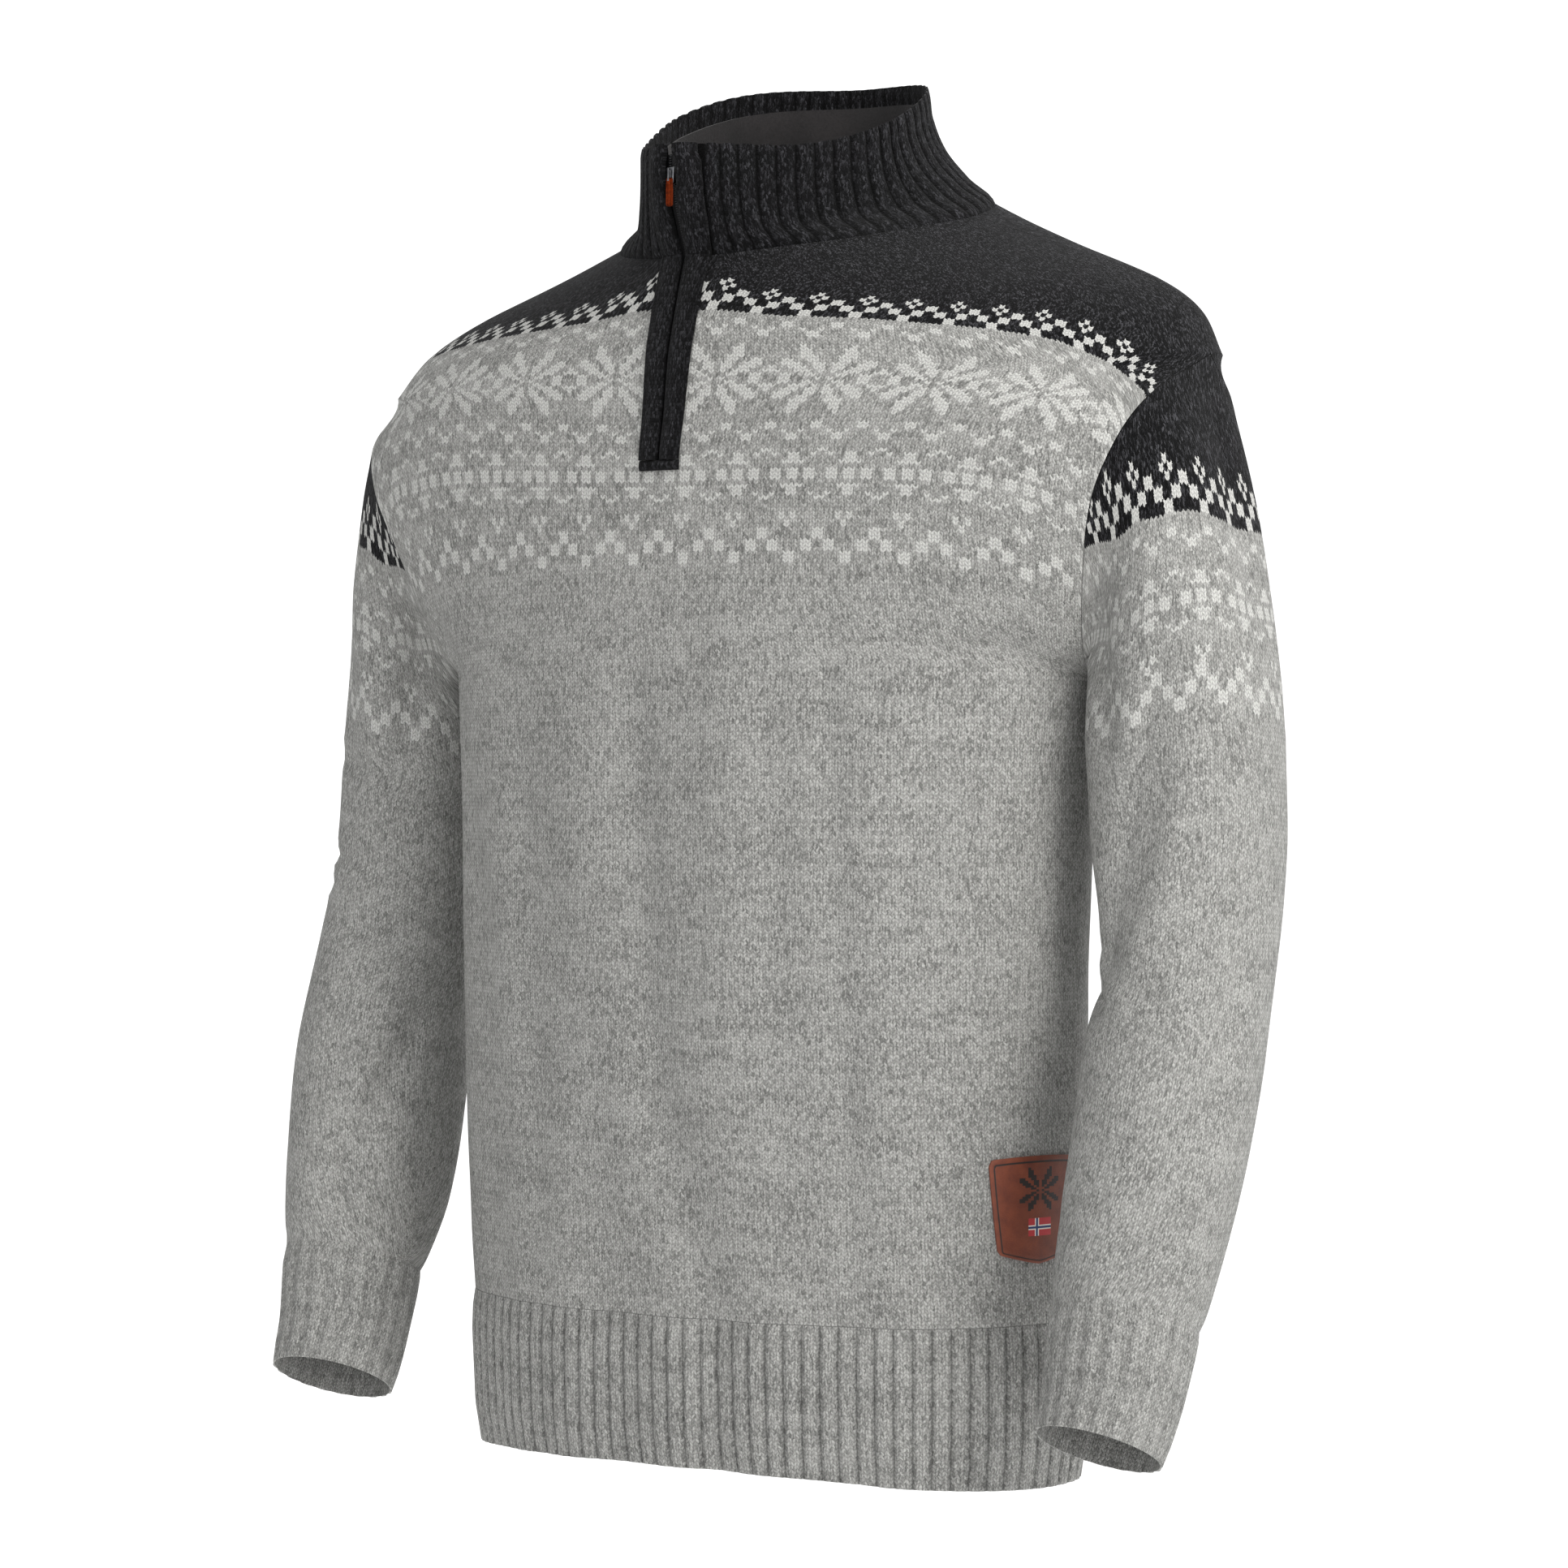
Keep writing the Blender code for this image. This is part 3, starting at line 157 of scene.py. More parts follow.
bpy.ops.mesh.primitive_circle_add(
    vertices=96, radius=studio["floorRadius"], fill_type="NGON", location=(0, 0, studio["floorHeight"])
)
floor = bpy.context.object
floor.name = "floor"
floorPaint = bpy.data.materials.new("mattWhitePaper")  # seamless backdrop paper: even and matt
floorPaint.use_nodes = True
for socket, value in (
    ("Base Color", hexColour(studio["backdrop"])), ("Roughness", 0.95),
    ("Emission Color", hexColour(studio["backdrop"])), ("Emission Strength", studio["floorGlow"]),
):
    floorPaint.node_tree.nodes["Principled BSDF"].inputs[socket].default_value = value
floor.data.materials.append(floorPaint)
print("studio, camera and floor are set")

# ---- the garment's form, as it is worn: the pattern pieces' own rows at finer steps

# Mesh steps: rows for each row step of the tables, columns for each share of a
# panel's row, and columns over the flat ground under a placket band.
fine = 5
acrossFine = 6
groundFine = 3

# Cloth: walls, the gap between two pieces at a seam, and the small unevenness
# that knitted cloth never loses.
knitWall = 0.0022
ribWall = 0.0016
liningWall = 0.0014
seamGap = 0.0003
unevenness = {"waves": 11.0, "height": 0.0007, "fineWaves": 2.3, "fineHeight": 0.0004}

# Body: one row of a panel runs from the centre line (x = 0) to its side edge.
# turn is how far round the body that row goes, in degrees; power is 1 for an
# oval and less for a squarer section; steps is the number of row steps up to
# the next row of the table.
BodyRow = namedtuple("BodyRow", "place centreY centreZ edgeX edgeY edgeZ turn power steps")

frontBelowArm = (
    BodyRow("hem seam", -0.1190, -0.6200, 0.1900, -0.006, -0.6200, 90, 0.88, 1),
    BodyRow("patch foot", -0.1210, -0.5870, 0.1915, -0.007, -0.5870, 90, 0.88, 1),
    BodyRow("patch head", -0.1240, -0.5290, 0.1930, -0.008, -0.5290, 90, 0.88, 2),
    BodyRow("waist", -0.1280, -0.4200, 0.1950, -0.009, -0.4200, 90, 0.88, 2),
    BodyRow("midriff", -0.1300, -0.3300, 0.1975, -0.008, -0.3300, 90, 0.88, 2),
    BodyRow("underarm", -0.1290, -0.2620, 0.2050, -0.002, -0.2740, 90, 0.88, 0),
)
frontArmhole = (
    frontBelowArm[-1]._replace(steps=2),
    BodyRow("low", -0.1275, -0.2330, 0.2128, -0.036, -0.2560, 76, 0.88, 2),
    BodyRow("middle", -0.1250, -0.1950, 0.2300, -0.062, -0.1920, 62, 0.88, 2),
    BodyRow("high", -0.1235, -0.1540, 0.2450, -0.064, -0.1550, 60, 0.88, 2),
    BodyRow("top", -0.1195, -0.1300, 0.2575, -0.044, -0.1250, 68, 0.88, 2),
    BodyRow("shoulder tip", -0.1165, -0.1080, 0.2650, 0.012, -0.0990, 90, 0.95, 0),
)
frontShoulder = (
    frontArmhole[-1]._replace(steps=2),
    BodyRow("outer", -0.1140, -0.0930, 0.2480, 0.016, -0.0720, 90, 0.98, 2),
    BodyRow("middle", -0.1100, -0.0770, 0.2170, 0.019, -0.0530, 90, 1.00, 1),
    BodyRow("inner", -0.1050, -0.0600, 0.1700, 0.018, -0.0360, 90, 1.06, 1),
    BodyRow("neck", -0.0990, -0.0415, 0.1130, 0.008, -0.0155, 90, 1.25, 0),
)
backBelowArm = (
    BodyRow("hem seam", 0.0910, -0.6200, 0.1900, -0.006, -0.6200, 90, 1.0, 1),
    BodyRow("patch foot", 0.0905, -0.5870, 0.1915, -0.007, -0.5870, 90, 1.0, 1),
    BodyRow("patch head", 0.0900, -0.5290, 0.1930, -0.008, -0.5290, 90, 1.0, 2),
    BodyRow("waist", 0.0910, -0.4200, 0.1950, -0.009, -0.4200, 90, 1.0, 2),
    BodyRow("midriff", 0.0990, -0.3300, 0.1975, -0.008, -0.3300, 90, 0.97, 2),
    BodyRow("underarm", 0.1110, -0.2620, 0.2050, -0.002, -0.2740, 90, 0.90, 0),
)
backArmhole = (
    backBelowArm[-1]._replace(steps=2),
    BodyRow("low", 0.1150, -0.2330, 0.2128, 0.031, -0.2560, 76, 0.88, 2),
    BodyRow("middle", 0.1190, -0.1930, 0.2315, 0.059, -0.1920, 62, 0.88, 2),
    BodyRow("high", 0.1210, -0.1530, 0.2470, 0.064, -0.1550, 60, 0.88, 2),
    BodyRow("top", 0.1205, -0.1180, 0.2600, 0.048, -0.1250, 68, 0.88, 2),
    BodyRow("shoulder tip", 0.1190, -0.0930, 0.2650, 0.012, -0.0990, 90, 0.92, 0),
)
backShoulder = (
    backArmhole[-1]._replace(steps=2),
    BodyRow("outer", 0.1170, -0.0740, 0.2480, 0.016, -0.0720, 90, 0.93, 2),
    BodyRow("middle", 0.1140, -0.0520, 0.2170, 0.019, -0.0530, 90, 0.93, 1),
    BodyRow("inner", 0.1080, -0.0220, 0.1700, 0.018, -0.0360, 90, 0.95, 1),
    BodyRow("neck", 0.1000, 0.0100, 0.1130, 0.008, -0.0155, 90, 0.92, 0),
)

# A point inside the body, a little below the underarm.
bodyMiddle = Vector((0.0, 0.0, -0.3))

# The neck sits a little towards the wearer's left at the top of the shoulders.
neckLean = 0.0080

# Columns of a panel, as shares of the row's turn. The front starts with two
# columns at fixed distances: the edge of the zip slit and the band's far side.
slitHalf = 0.004
bandGround = 0.0165
frontShares = (0.19, 0.31, 0.44, 0.57, 0.69, 0.80, 0.91, 1.0)
backShares = (0.0, 0.13, 0.26, 0.38, 0.50, 0.62, 0.75, 0.88, 1.0)

# Soft folds, and the finer creases that the worn cloth adds to them: a line from
# (across, height) to (across, height) that the cloth rises or sinks along.
# Across is metres from the centre line on the panels.
Fold = namedtuple("Fold", "place acrossTop top acrossFoot foot width depth")
frontFolds = (
    Fold("right flank", -0.150, -0.33, -0.130, -0.64, 0.022, -0.0035),
    Fold("right of centre", -0.080, -0.36, -0.030, -0.66, 0.026, -0.0040),
    Fold("left of centre", 0.078, -0.28, 0.092, -0.64, 0.020, -0.0035),
    Fold("left drag", 0.185, -0.22, 0.130, -0.42, 0.014, -0.0030),
    Fold("right drag", -0.190, -0.23, -0.150, -0.40, 0.016, -0.0035),
    Fold("left crest", 0.125, -0.40, 0.140, -0.66, 0.022, 0.0020),
    # the finer creases
    Fold("middle fall", -0.016, -0.28, -0.004, -0.52, 0.015, -0.0052),
    Fold("middle foot", -0.004, -0.48, 0.034, -0.64, 0.014, -0.0045),
    Fold("flank fall", 0.102, -0.24, 0.114, -0.62, 0.0090, -0.0034),
    Fold("flank swell", 0.082, -0.26, 0.090, -0.56, 0.012, 0.0016),
    Fold("left ridge", 0.052, -0.24, 0.040, -0.48, 0.018, 0.0034),
    Fold("right ridge", -0.056, -0.34, -0.064, -0.54, 0.016, 0.0032),
    Fold("right fall", -0.100, -0.30, -0.092, -0.62, 0.012, -0.0034),
    Fold("chest drag", 0.150, -0.215, 0.120, -0.30, 0.008, -0.0018),
    Fold("armpit pull", 0.190, -0.245, 0.165, -0.33, 0.006, -0.0022),
    Fold("far armpit pull", -0.190, -0.245, -0.160, -0.34, 0.007, -0.0022),
)
backFolds = (
    Fold("blade trough", -0.055, -0.24, -0.085, -0.60, 0.024, -0.0035),
    Fold("spine crest", 0.020, -0.30, 0.010, -0.64, 0.030, 0.0025),
    Fold("left trough", 0.095, -0.27, 0.070, -0.62, 0.022, -0.0040),
    Fold("left drag", 0.185, -0.23, 0.145, -0.41, 0.015, -0.0030),
    Fold("right drag", -0.185, -0.23, -0.140, -0.43, 0.016, -0.0030),
    # the finer creases
    Fold("small of the back", -0.024, -0.34, -0.045, -0.62, 0.010, -0.0028),
    Fold("right ridge", -0.120, -0.30, -0.125, -0.58, 0.014, 0.0018),
    Fold("left fall", 0.050, -0.32, 0.036, -0.60, 0.009, -0.0022),
    Fold("left ridge", 0.074, -0.26, 0.060, -0.50, 0.014, 0.0020),
    Fold("right armpit pull", -0.190, -0.245, -0.160, -0.33, 0.007, -0.0022),
    Fold("left armpit pull", 0.190, -0.245, 0.162, -0.34, 0.007, -0.0022),
)

# Arm: ellipses along the arm's line, with the half width across (towards the
# body) and the half depth (front to back). They are for the left arm.
ArmRow = namedtuple("ArmRow", "place x y z halfWidth halfDepth steps")
armRows = (
    ArmRow("biceps", 0.2565, 0.006, -0.300, 0.0475, 0.0600, 2),
    ArmRow("above elbow", 0.2600, 0.003, -0.360, 0.0465, 0.0575, 2),
    ArmRow("elbow", 0.2635, -0.011, -0.420, 0.0450, 0.0545, 3),
    ArmRow("forearm", 0.2640, -0.033, -0.490, 0.0455, 0.0550, 2),
    ArmRow("low forearm", 0.2605, -0.049, -0.550, 0.0440, 0.0515, 1),
    ArmRow("above wrist", 0.2575, -0.062, -0.592, 0.0412, 0.0460, 1),
    ArmRow("cuff seam", 0.2570, -0.068, -0.608, 0.0385, 0.0410, 0),
)
cuffRows = (
    ArmRow("swell", 0.2560, -0.0725, -0.6250, 0.0380, 0.0400, 1),
    ArmRow("middle", 0.2550, -0.0800, -0.6500, 0.0360, 0.0375, 1),
    ArmRow("rim", 0.2535, -0.0915, -0.6745, 0.0340, 0.0360, 0),
)
# Sleeve head: row steps from the armhole to the biceps, how far and which way
# the cloth leaves the armhole, and the rounds that ease the shoulder tip's corner.
capSteps = 7
capReach = 0.85
capSpread = 0.6
capFall = 0.75
capEasings = 14
capEaseRows = 3.0
armholeGap = 0.0006
cornerTurns = (0.65, 0.35)

# Folds of the sleeves: across is the angle round the arm in degrees, from the
# side next to the body over the front (90) and the outside (180) to the back.
leftSleeveFolds = (
    Fold("front drag", 118, -0.28, 60, -0.43, 15, -0.0050),
    Fold("armpit crease", 35, -0.21, 62, -0.31, 14, -0.0050),
    Fold("inner elbow", 5, -0.425, 60, -0.455, 22, -0.0040),
    Fold("back elbow", 250, -0.38, 290, -0.46, 22, -0.0040),
    Fold("forearm", 150, -0.47, 110, -0.60, 16, -0.0030),
    # the finer creases
    Fold("drag line", 104, -0.27, 44, -0.435, 9, -0.0042),
    Fold("inner swell", 33, -0.245, 38, -0.385, 26, 0.0068),
    Fold("inner notch", 0, -0.438, 66, -0.446, 11, -0.0042),
    Fold("upper swell", 125, -0.26, 105, -0.38, 12, 0.0022),
    Fold("elbow ring", 30, -0.415, 130, -0.452, 24, -0.0022),
    Fold("outer drag", 165, -0.40, 140, -0.56, 9, -0.0020),
    Fold("back drag", 250, -0.26, 285, -0.40, 10, -0.0024),
    Fold("wrist slouch", 60, -0.560, 150, -0.585, 26, -0.0016),
)
rightSleeveFolds = (
    Fold("outer elbow", 205, -0.372, 150, -0.392, 26, -0.0070),
    Fold("armpit crease", 40, -0.21, 70, -0.32, 15, -0.0055),
    Fold("forearm slant", 20, -0.46, 75, -0.58, 13, -0.0045),
    Fold("back elbow", 260, -0.37, 300, -0.47, 22, -0.0040),
    Fold("upper drag", 130, -0.24, 100, -0.36, 18, -0.0030),
    Fold("inner swell", 325, -0.49, 325, -0.60, 26, 0.0050),
    # the finer creases
    Fold("elbow notch", 200, -0.350, 132, -0.374, 15, -0.0050),
    Fold("elbow crease", 128, -0.312, 16, -0.345, 24, -0.0034),
    Fold("lower crease", 110, -0.405, 20, -0.440, 22, -0.0026),
    Fold("forearm line", 84, -0.45, 60, -0.58, 8, -0.0022),
    Fold("back drag", 255, -0.28, 290, -0.42, 10, -0.0024),
    Fold("wrist slouch", 30, -0.565, 120, -0.588, 26, -0.0016),
)

# Ribs: along one pitch, how far on a point lies and how high it stands.
narrowRib = (
    (0.0, 0.0), (0.08, 0.34), (0.16, 0.74), (0.26, 0.96), (0.38, 1.04), (0.50, 0.98), (0.62, 1.04),
    (0.74, 0.96), (0.84, 0.74), (0.92, 0.34),
)
wideRib = (
    (0.0, 0.0), (0.07, 0.42), (0.14, 0.82), (0.24, 1.02), (0.34, 0.98), (0.44, 1.02), (0.54, 0.86),
    (0.62, 0.46), (0.70, 0.08), (0.80, -0.12), (0.90, -0.12),
)
hemRibsEach = 48
hemRibHeight = 0.0010
collarRibs = 54
collarRibHeight = 0.0012
cuffRibs = 20
cuffRibHeight = 0.0009
cuffRimDraw = 0.0006

# Hem rib: how far below the hem seam each ring lies and how far it draws in.
HemRow = namedtuple("HemRow", "drop drawIn")
hemRows = (HemRow(0.022, -0.0010), HemRow(0.062, 0.0005), HemRow(0.082, 0.0038))
hemSteps = 18
hemSideDrop = 0.0070
hemWave = 0.0022
hemWaves = 9.0

# Collar: share of its height, and how much of the neck edge's flare is left
# there in front, on the front flank and round the sides and back.
CollarRow = namedtuple("CollarRow", "rise front flank rest")
collarRows = (
    CollarRow(0.20, 0.74, 0.24, 0.62),
    CollarRow(0.45, 0.30, 0.05, 0.27),
    CollarRow(0.72, 0.03, 0.0, 0.07),
    CollarRow(0.88, 0.0, 0.0, 0.02),
    CollarRow(1.0, 0.0, 0.0, 0.0),
)
flankTurn = math.radians(50)
restTurn = math.radians(100)
collarHalfWidth = 0.0745
collarFrontDepth = 0.1130
collarBackDepth = 0.0980
collarProwPower = 1.3
collarFrontTop = 0.0190
collarRise = 0.0600
collarRiseStart = -0.085
collarRiseLength = 0.205
collarRightLift = 0.0120
collarSteps = 24
collarRimStart = 0.93
collarRimDraw = 0.0008
collarRimRows = 3
collarRimDip = 0.0010
ribMeanHeight = 0.7
liningSpan = (0.06, 0.85)
liningFootEase = 0.0010

# Placket bands, from the slit's foot to the collar's rim. The groove is the
# stitched line of the band's fold: depth, place and half width as shares. From
# a height on, the bands stand out by half their thickness, where the collar bends.
bandSteps = 12
bandThick = 0.0034
bandEdgeThick = 0.0006
bandGap = 0.0008
bandGroove = (0.22, 0.80, 0.06)
bandStandOut = (-0.045, 0.03, 0.5)
bandSwellPower = 0.45
# At a height: how far the band's inner edge is from the centre, and its width.
BandRow = namedtuple("BandRow", "height parting width")
bandRows = (
    BandRow(-0.160, 0.0009, 0.0120),
    BandRow(-0.062, 0.0010, 0.0142),
    BandRow(-0.039, 0.0013, 0.0150),
    BandRow(-0.022, 0.0020, 0.0152),
    BandRow(-0.006, 0.0021, 0.0150),
    BandRow(-0.0035, 0.0029, 0.0145),
    BandRow(0.0078, 0.0029, 0.0143),
    BandRow(0.015, 0.0010, 0.0142),
    BandRow(0.030, 0.0010, 0.0140),
)
footSteps = (8, 16)
footDrop = 0.0055
footThick = 0.0030

# Zip: tape behind the slit, slider near the top and its pull tab.
tapeRidge = 4  # the tape's middle column
tapeHalf = 0.0060
tapeWall = 0.0010
tapeGap = 0.0007
sliderSize = Vector((0.0054, 0.0028, 0.0090))
sliderCentre = Vector((0.0, -0.1125, 0.0020))
bridgeWidth = 0.0012
bridgeReach = 0.0023
bridgeRoot = 0.0005
bridgeBar = 0.0009
bridgeHeight = 0.0070
tabWidth = 0.0036
tabLength = 0.0155
tabThick = 0.0007
tabWindowWidth = 0.0020
tabWindowLength = 0.0030

# Leather patch on the front, near the wearer's left side seam: the panel's
# columns and rows of the tables that it spans.
patchColumns = (7, 9)
patchRows = (1, 2)


def signedPower(value, power):
    return math.copysign(abs(value) ** power, value)


def smoothStep(value):
    value = min(max(value, 0.0), 1.0)
    return value * value * (3.0 - 2.0 * value)


def spline(before, start, end, after, share):
    return 0.5 * (
        2.0 * start
        + (end - before) * share
        + (2.0 * before - 5.0 * start + 4.0 * end - after) * share ** 2
        + (3.0 * start - before - 3.0 * end + after) * share ** 3
    )


def foldDepth(folds, across, height):
    total = 0.0
    for fold in folds:
        run = (fold.top - height) / (fold.top - fold.foot)
        ends = smoothStep(0.5 + run * 2.0) * smoothStep(0.5 + (1.0 - run) * 2.0)
        line = fold.acrossTop + (fold.acrossFoot - fold.acrossTop) * run
        total += fold.depth * ends * math.exp(-(((across - line) / fold.width) ** 2))
    return total


def gridNormals(grid, closed, outward):
    rows, columns = len(grid), len(grid[0])
    normals = []
    for r in range(rows):
        line = []
        for c in range(columns):
            up = grid[min(r + 1, rows - 1)][c] - grid[max(r - 1, 0)][c]
            if closed:
                along = grid[r][(c + 1) % columns] - grid[r][c - 1]
            else:
                along = grid[r][min(c + 1, columns - 1)] - grid[r][max(c - 1, 0)]
            normal = along.cross(up).normalized()
            if normal.dot(outward(r, c)) < 0.0:
                normal = -normal
            line.append(normal)
        normals.append(line)
    return normals


def flipped(point):  # to the other side of the body
    return Vector((-point.x, point.y, point.z))


def mirrored(grid):
    return [[flipped(p) for p in row] for row in grid]


def levelNormals(grid):  # for a standing band round the neck: they point away from its middle
    return gridNormals(grid, False, lambda r, c: Vector((grid[r][c].x, grid[r][c].y, 0.0)))


def shifted(grid, normals, distance):
    return [[p + n * distance for p, n in zip(row, line)] for row, line in zip(grid, normals)]


def chainLengths(chain):
    lengths = [0.0]
    for start, end in zip(chain, chain[1:]):
        lengths.append(lengths[-1] + (end - start).length)
    return lengths


def matched(chain, partner, share):
    lengths = chainLengths(chain)
    target = share * lengths[-1]
    index = 0
    while index < len(chain) - 2 and target > lengths[index + 1]:
        index += 1
    span = lengths[index + 1] - lengths[index]
    return partner[index].lerp(partner[index + 1], (target - lengths[index]) / span)


def pointOn(chain, share):
    return matched(chain, chain, share)


def rowPoint(row, turnShare):
    full = math.radians(row["turn"])
    power = row["power"]
    angle = full * turnShare
    across = math.sin(angle) ** power / math.sin(full) ** power
    depth = 1.0 - max(math.cos(angle), 0.0) ** power
    depth /= 1.0 - max(math.cos(full), 0.0) ** power
    return Vector((
        row["edgeX"] * across,
        row["centreY"] + (row["edgeY"] - row["centreY"]) * depth,
        row["centreZ"] + (row["edgeZ"] - row["centreZ"]) * depth,
    ))


def leaned(grid, tip):
    last = len(grid) - 1
    for r in range(tip + 1, len(grid)):
        reach = abs(grid[r][0].x) - bandGround
        for point in grid[r]:
            share = max(0.0, abs(point.x) - bandGround) / reach
            point.x += neckLean * share * (r - tip) / (last - tip)
    return grid


def joinedRows(*tables):
    rows = []
    for table in tables:
        rows += tableRows(table)[0 if not rows else 1:]
    return rows


def trimmed(outer, inner, rows):
    for grid in (outer, inner):
        for r in rows:
            line = grid[r]
            for edge, beside in ((0, 1), (-1, -2)):
                inward = (line[beside] - line[edge]).normalized()
                line[edge] = line[edge] + inward * seamGap / 2.0


def tableRows(table):
    names = [name for name in table[0]._fields if name not in ("place", "steps")]
    found = []
    for index in range(len(table) - 1):
        start, end = table[index], table[index + 1]
        before = table[index - 1] if index > 0 else None
        after = table[index + 2] if index + 2 < len(table) else None
        for step in range(start.steps * fine):
            share = step / (start.steps * fine)
            row = {}
            for name in names:
                a, b = getattr(start, name), getattr(end, name)
                pre = getattr(before, name) if before else 2.0 * a - b
                post = getattr(after, name) if after else 2.0 * b - a
                row[name] = spline(pre, a, b, post, share)
            found.append(row)
    found.append({name: getattr(table[-1], name) for name in names})
    return found


def shareAt(row, distance):  # the turn share of a row at a distance from the centre
    full = math.radians(row["turn"])
    reach = math.sin(full) ** row["power"]
    return math.asin(min(1.0, (distance / row["edgeX"] * reach) ** (1.0 / row["power"]))) / full


def finer(values, counts):
    found = []
    for a, b, count in zip(values, values[1:], counts):
        found += [a + (b - a) * i / count for i in range(count)]
    return found + [values[-1]]


def frontRowPoints(row):
    shares = [shareAt(row, slitHalf), shareAt(row, bandGround)] + list(frontShares)
    counts = [groundFine] + [acrossFine] * len(frontShares)
    left = [rowPoint(row, s) for s in finer(shares, counts)]
    return [flipped(p) for p in reversed(left)] + left


def backRowPoints(row):
    left = [rowPoint(row, s) for s in finer(backShares, [acrossFine] * (len(backShares) - 1))]
    return [flipped(p) for p in reversed(left[1:])] + left


def edgeFade(c, last, run):  # 0 at both edges of a panel, 1 from run columns in
    return smoothStep(min(c, last - c) / run)


def settled(point):
    place = point * unevenness["waves"]
    fineNoise = noise.noise(place * unevenness["fineWaves"])
    return unevenness["height"] * noise.noise(place) + unevenness["fineHeight"] * fineNoise


def folded(grid, folds, facing):
    normals = gridNormals(grid, False, lambda r, c: facing)
    last = len(grid[0]) - 1
    found = []
    for row, line in zip(grid, normals):
        depths = [foldDepth(folds, point.x, point.z) + settled(point) for point in row]
        found.append([
            point + normal * edgeFade(c, last, acrossFine) * depth
            for c, (point, normal, depth) in enumerate(zip(row, line, depths))
        ])
    return found


def rowCount(*tables):
    return fine * sum(row.steps for table in tables for row in table)


def bodyGrids():
    frontRows = joinedRows(frontBelowArm, frontArmhole, frontShoulder)
    backRows = joinedRows(backBelowArm, backArmhole, backShoulder)
    underarm, tip = rowCount(frontBelowArm), rowCount(frontBelowArm, frontArmhole)
    front = leaned([frontRowPoints(row) for row in frontRows], tip)
    back = leaned([backRowPoints(row) for row in backRows], tip)
    front = folded(front, frontFolds, Vector((0, -1, 0)))
    back = folded(back, backFolds, Vector((0, 1, 0)))
    frontNormals = gridNormals(front, False, lambda r, c: front[r][c] - bodyMiddle)
    backNormals = gridNormals(back, False, lambda r, c: back[r][c] - bodyMiddle)
    seamRows = list(range(underarm + 1)) + list(range(tip, len(frontRows)))
    for r in seamRows:
        for edge in (0, -1):
            shared = (frontNormals[r][edge] + backNormals[r][edge]).normalized()
            frontNormals[r][edge] = shared
            backNormals[r][edge] = shared
    turnShares = finer((1.0,) + cornerTurns + (0.0,), (fine, fine, fine))[1:-1]
    for normals in (frontNormals, backNormals):
        for r, share in enumerate(turnShares, underarm + 1):
            for edge in (0, -1):
                normals[r][edge] = normals[r][edge].lerp(normals[underarm][edge], share).normalized()
    frontInner = shifted(front, frontNormals, -knitWall)
    backInner = shifted(back, backNormals, -knitWall)
    trimmed(front, frontInner, seamRows)
    trimmed(back, backInner, seamRows)
    return {
        "front": (front, frontInner, frontNormals),
        "back": (back, backInner, backNormals),
        "underarm": underarm,
        "tip": tip,
    }


def slitFootRow():
    return rowCount(frontBelowArm, frontArmhole[:3])


def armholeLoop(body):
    underarm, tip = body["underarm"], body["tip"]
    sides = {}
    for side in ("front", "back"):
        outer, inner, _ = body[side]
        sides[side] = [(outer[r][-1], inner[r][-1]) for r in range(underarm, tip + 1)]

    def middle(first, second):
        return tuple((a + b) / 2.0 for a, b in zip(first, second))

    front, back = sides["front"], sides["back"]
    loop = [middle(front[0], back[0])] + front[1:-1]
    loop += [middle(front[-1], back[-1])] + back[-2:0:-1]
    return loop, rimWays(loop)


def rimWays(loop):
    count = len(loop)
    faces = []
    for j in range(count):
        (outA, inA), (outB, inB) = loop[j], loop[(j + 1) % count]
        along = outB + inB - outA - inA
        through = inA + inB - outA - outB
        faces.append(through.cross(along).normalized())
    ways = []
    for j in range(count):
        way = (faces[j - 1] + faces[j]).normalized()
        ways.append(way / min(way.dot(faces[j - 1]), way.dot(faces[j])))
    return ways


def armFrames(table):
    rows = tableRows(table)
    centres = [Vector((row["x"], row["y"], row["z"])) for row in rows]
    frames = []
    for index, row in enumerate(rows):
        ahead = centres[min(index + 1, len(rows) - 1)]
        behind = centres[max(index - 1, 0)]
        down = (ahead - behind).normalized()
        inward = (Vector((-1, 0, 0)) - down * down.dot(Vector((-1, 0, 0)))).normalized()
        forward = (Vector((0, -1, 0)) - down * down.dot(Vector((0, -1, 0)))).normalized()
        frames.append((centres[index], inward, forward, down, row["halfWidth"], row["halfDepth"]))
    return frames


def ringPoint(frame, turn):
    centre, inward, forward, _, halfWidth, halfDepth = frame
    return centre + inward * halfWidth * math.cos(turn) + forward * halfDepth * math.sin(turn)


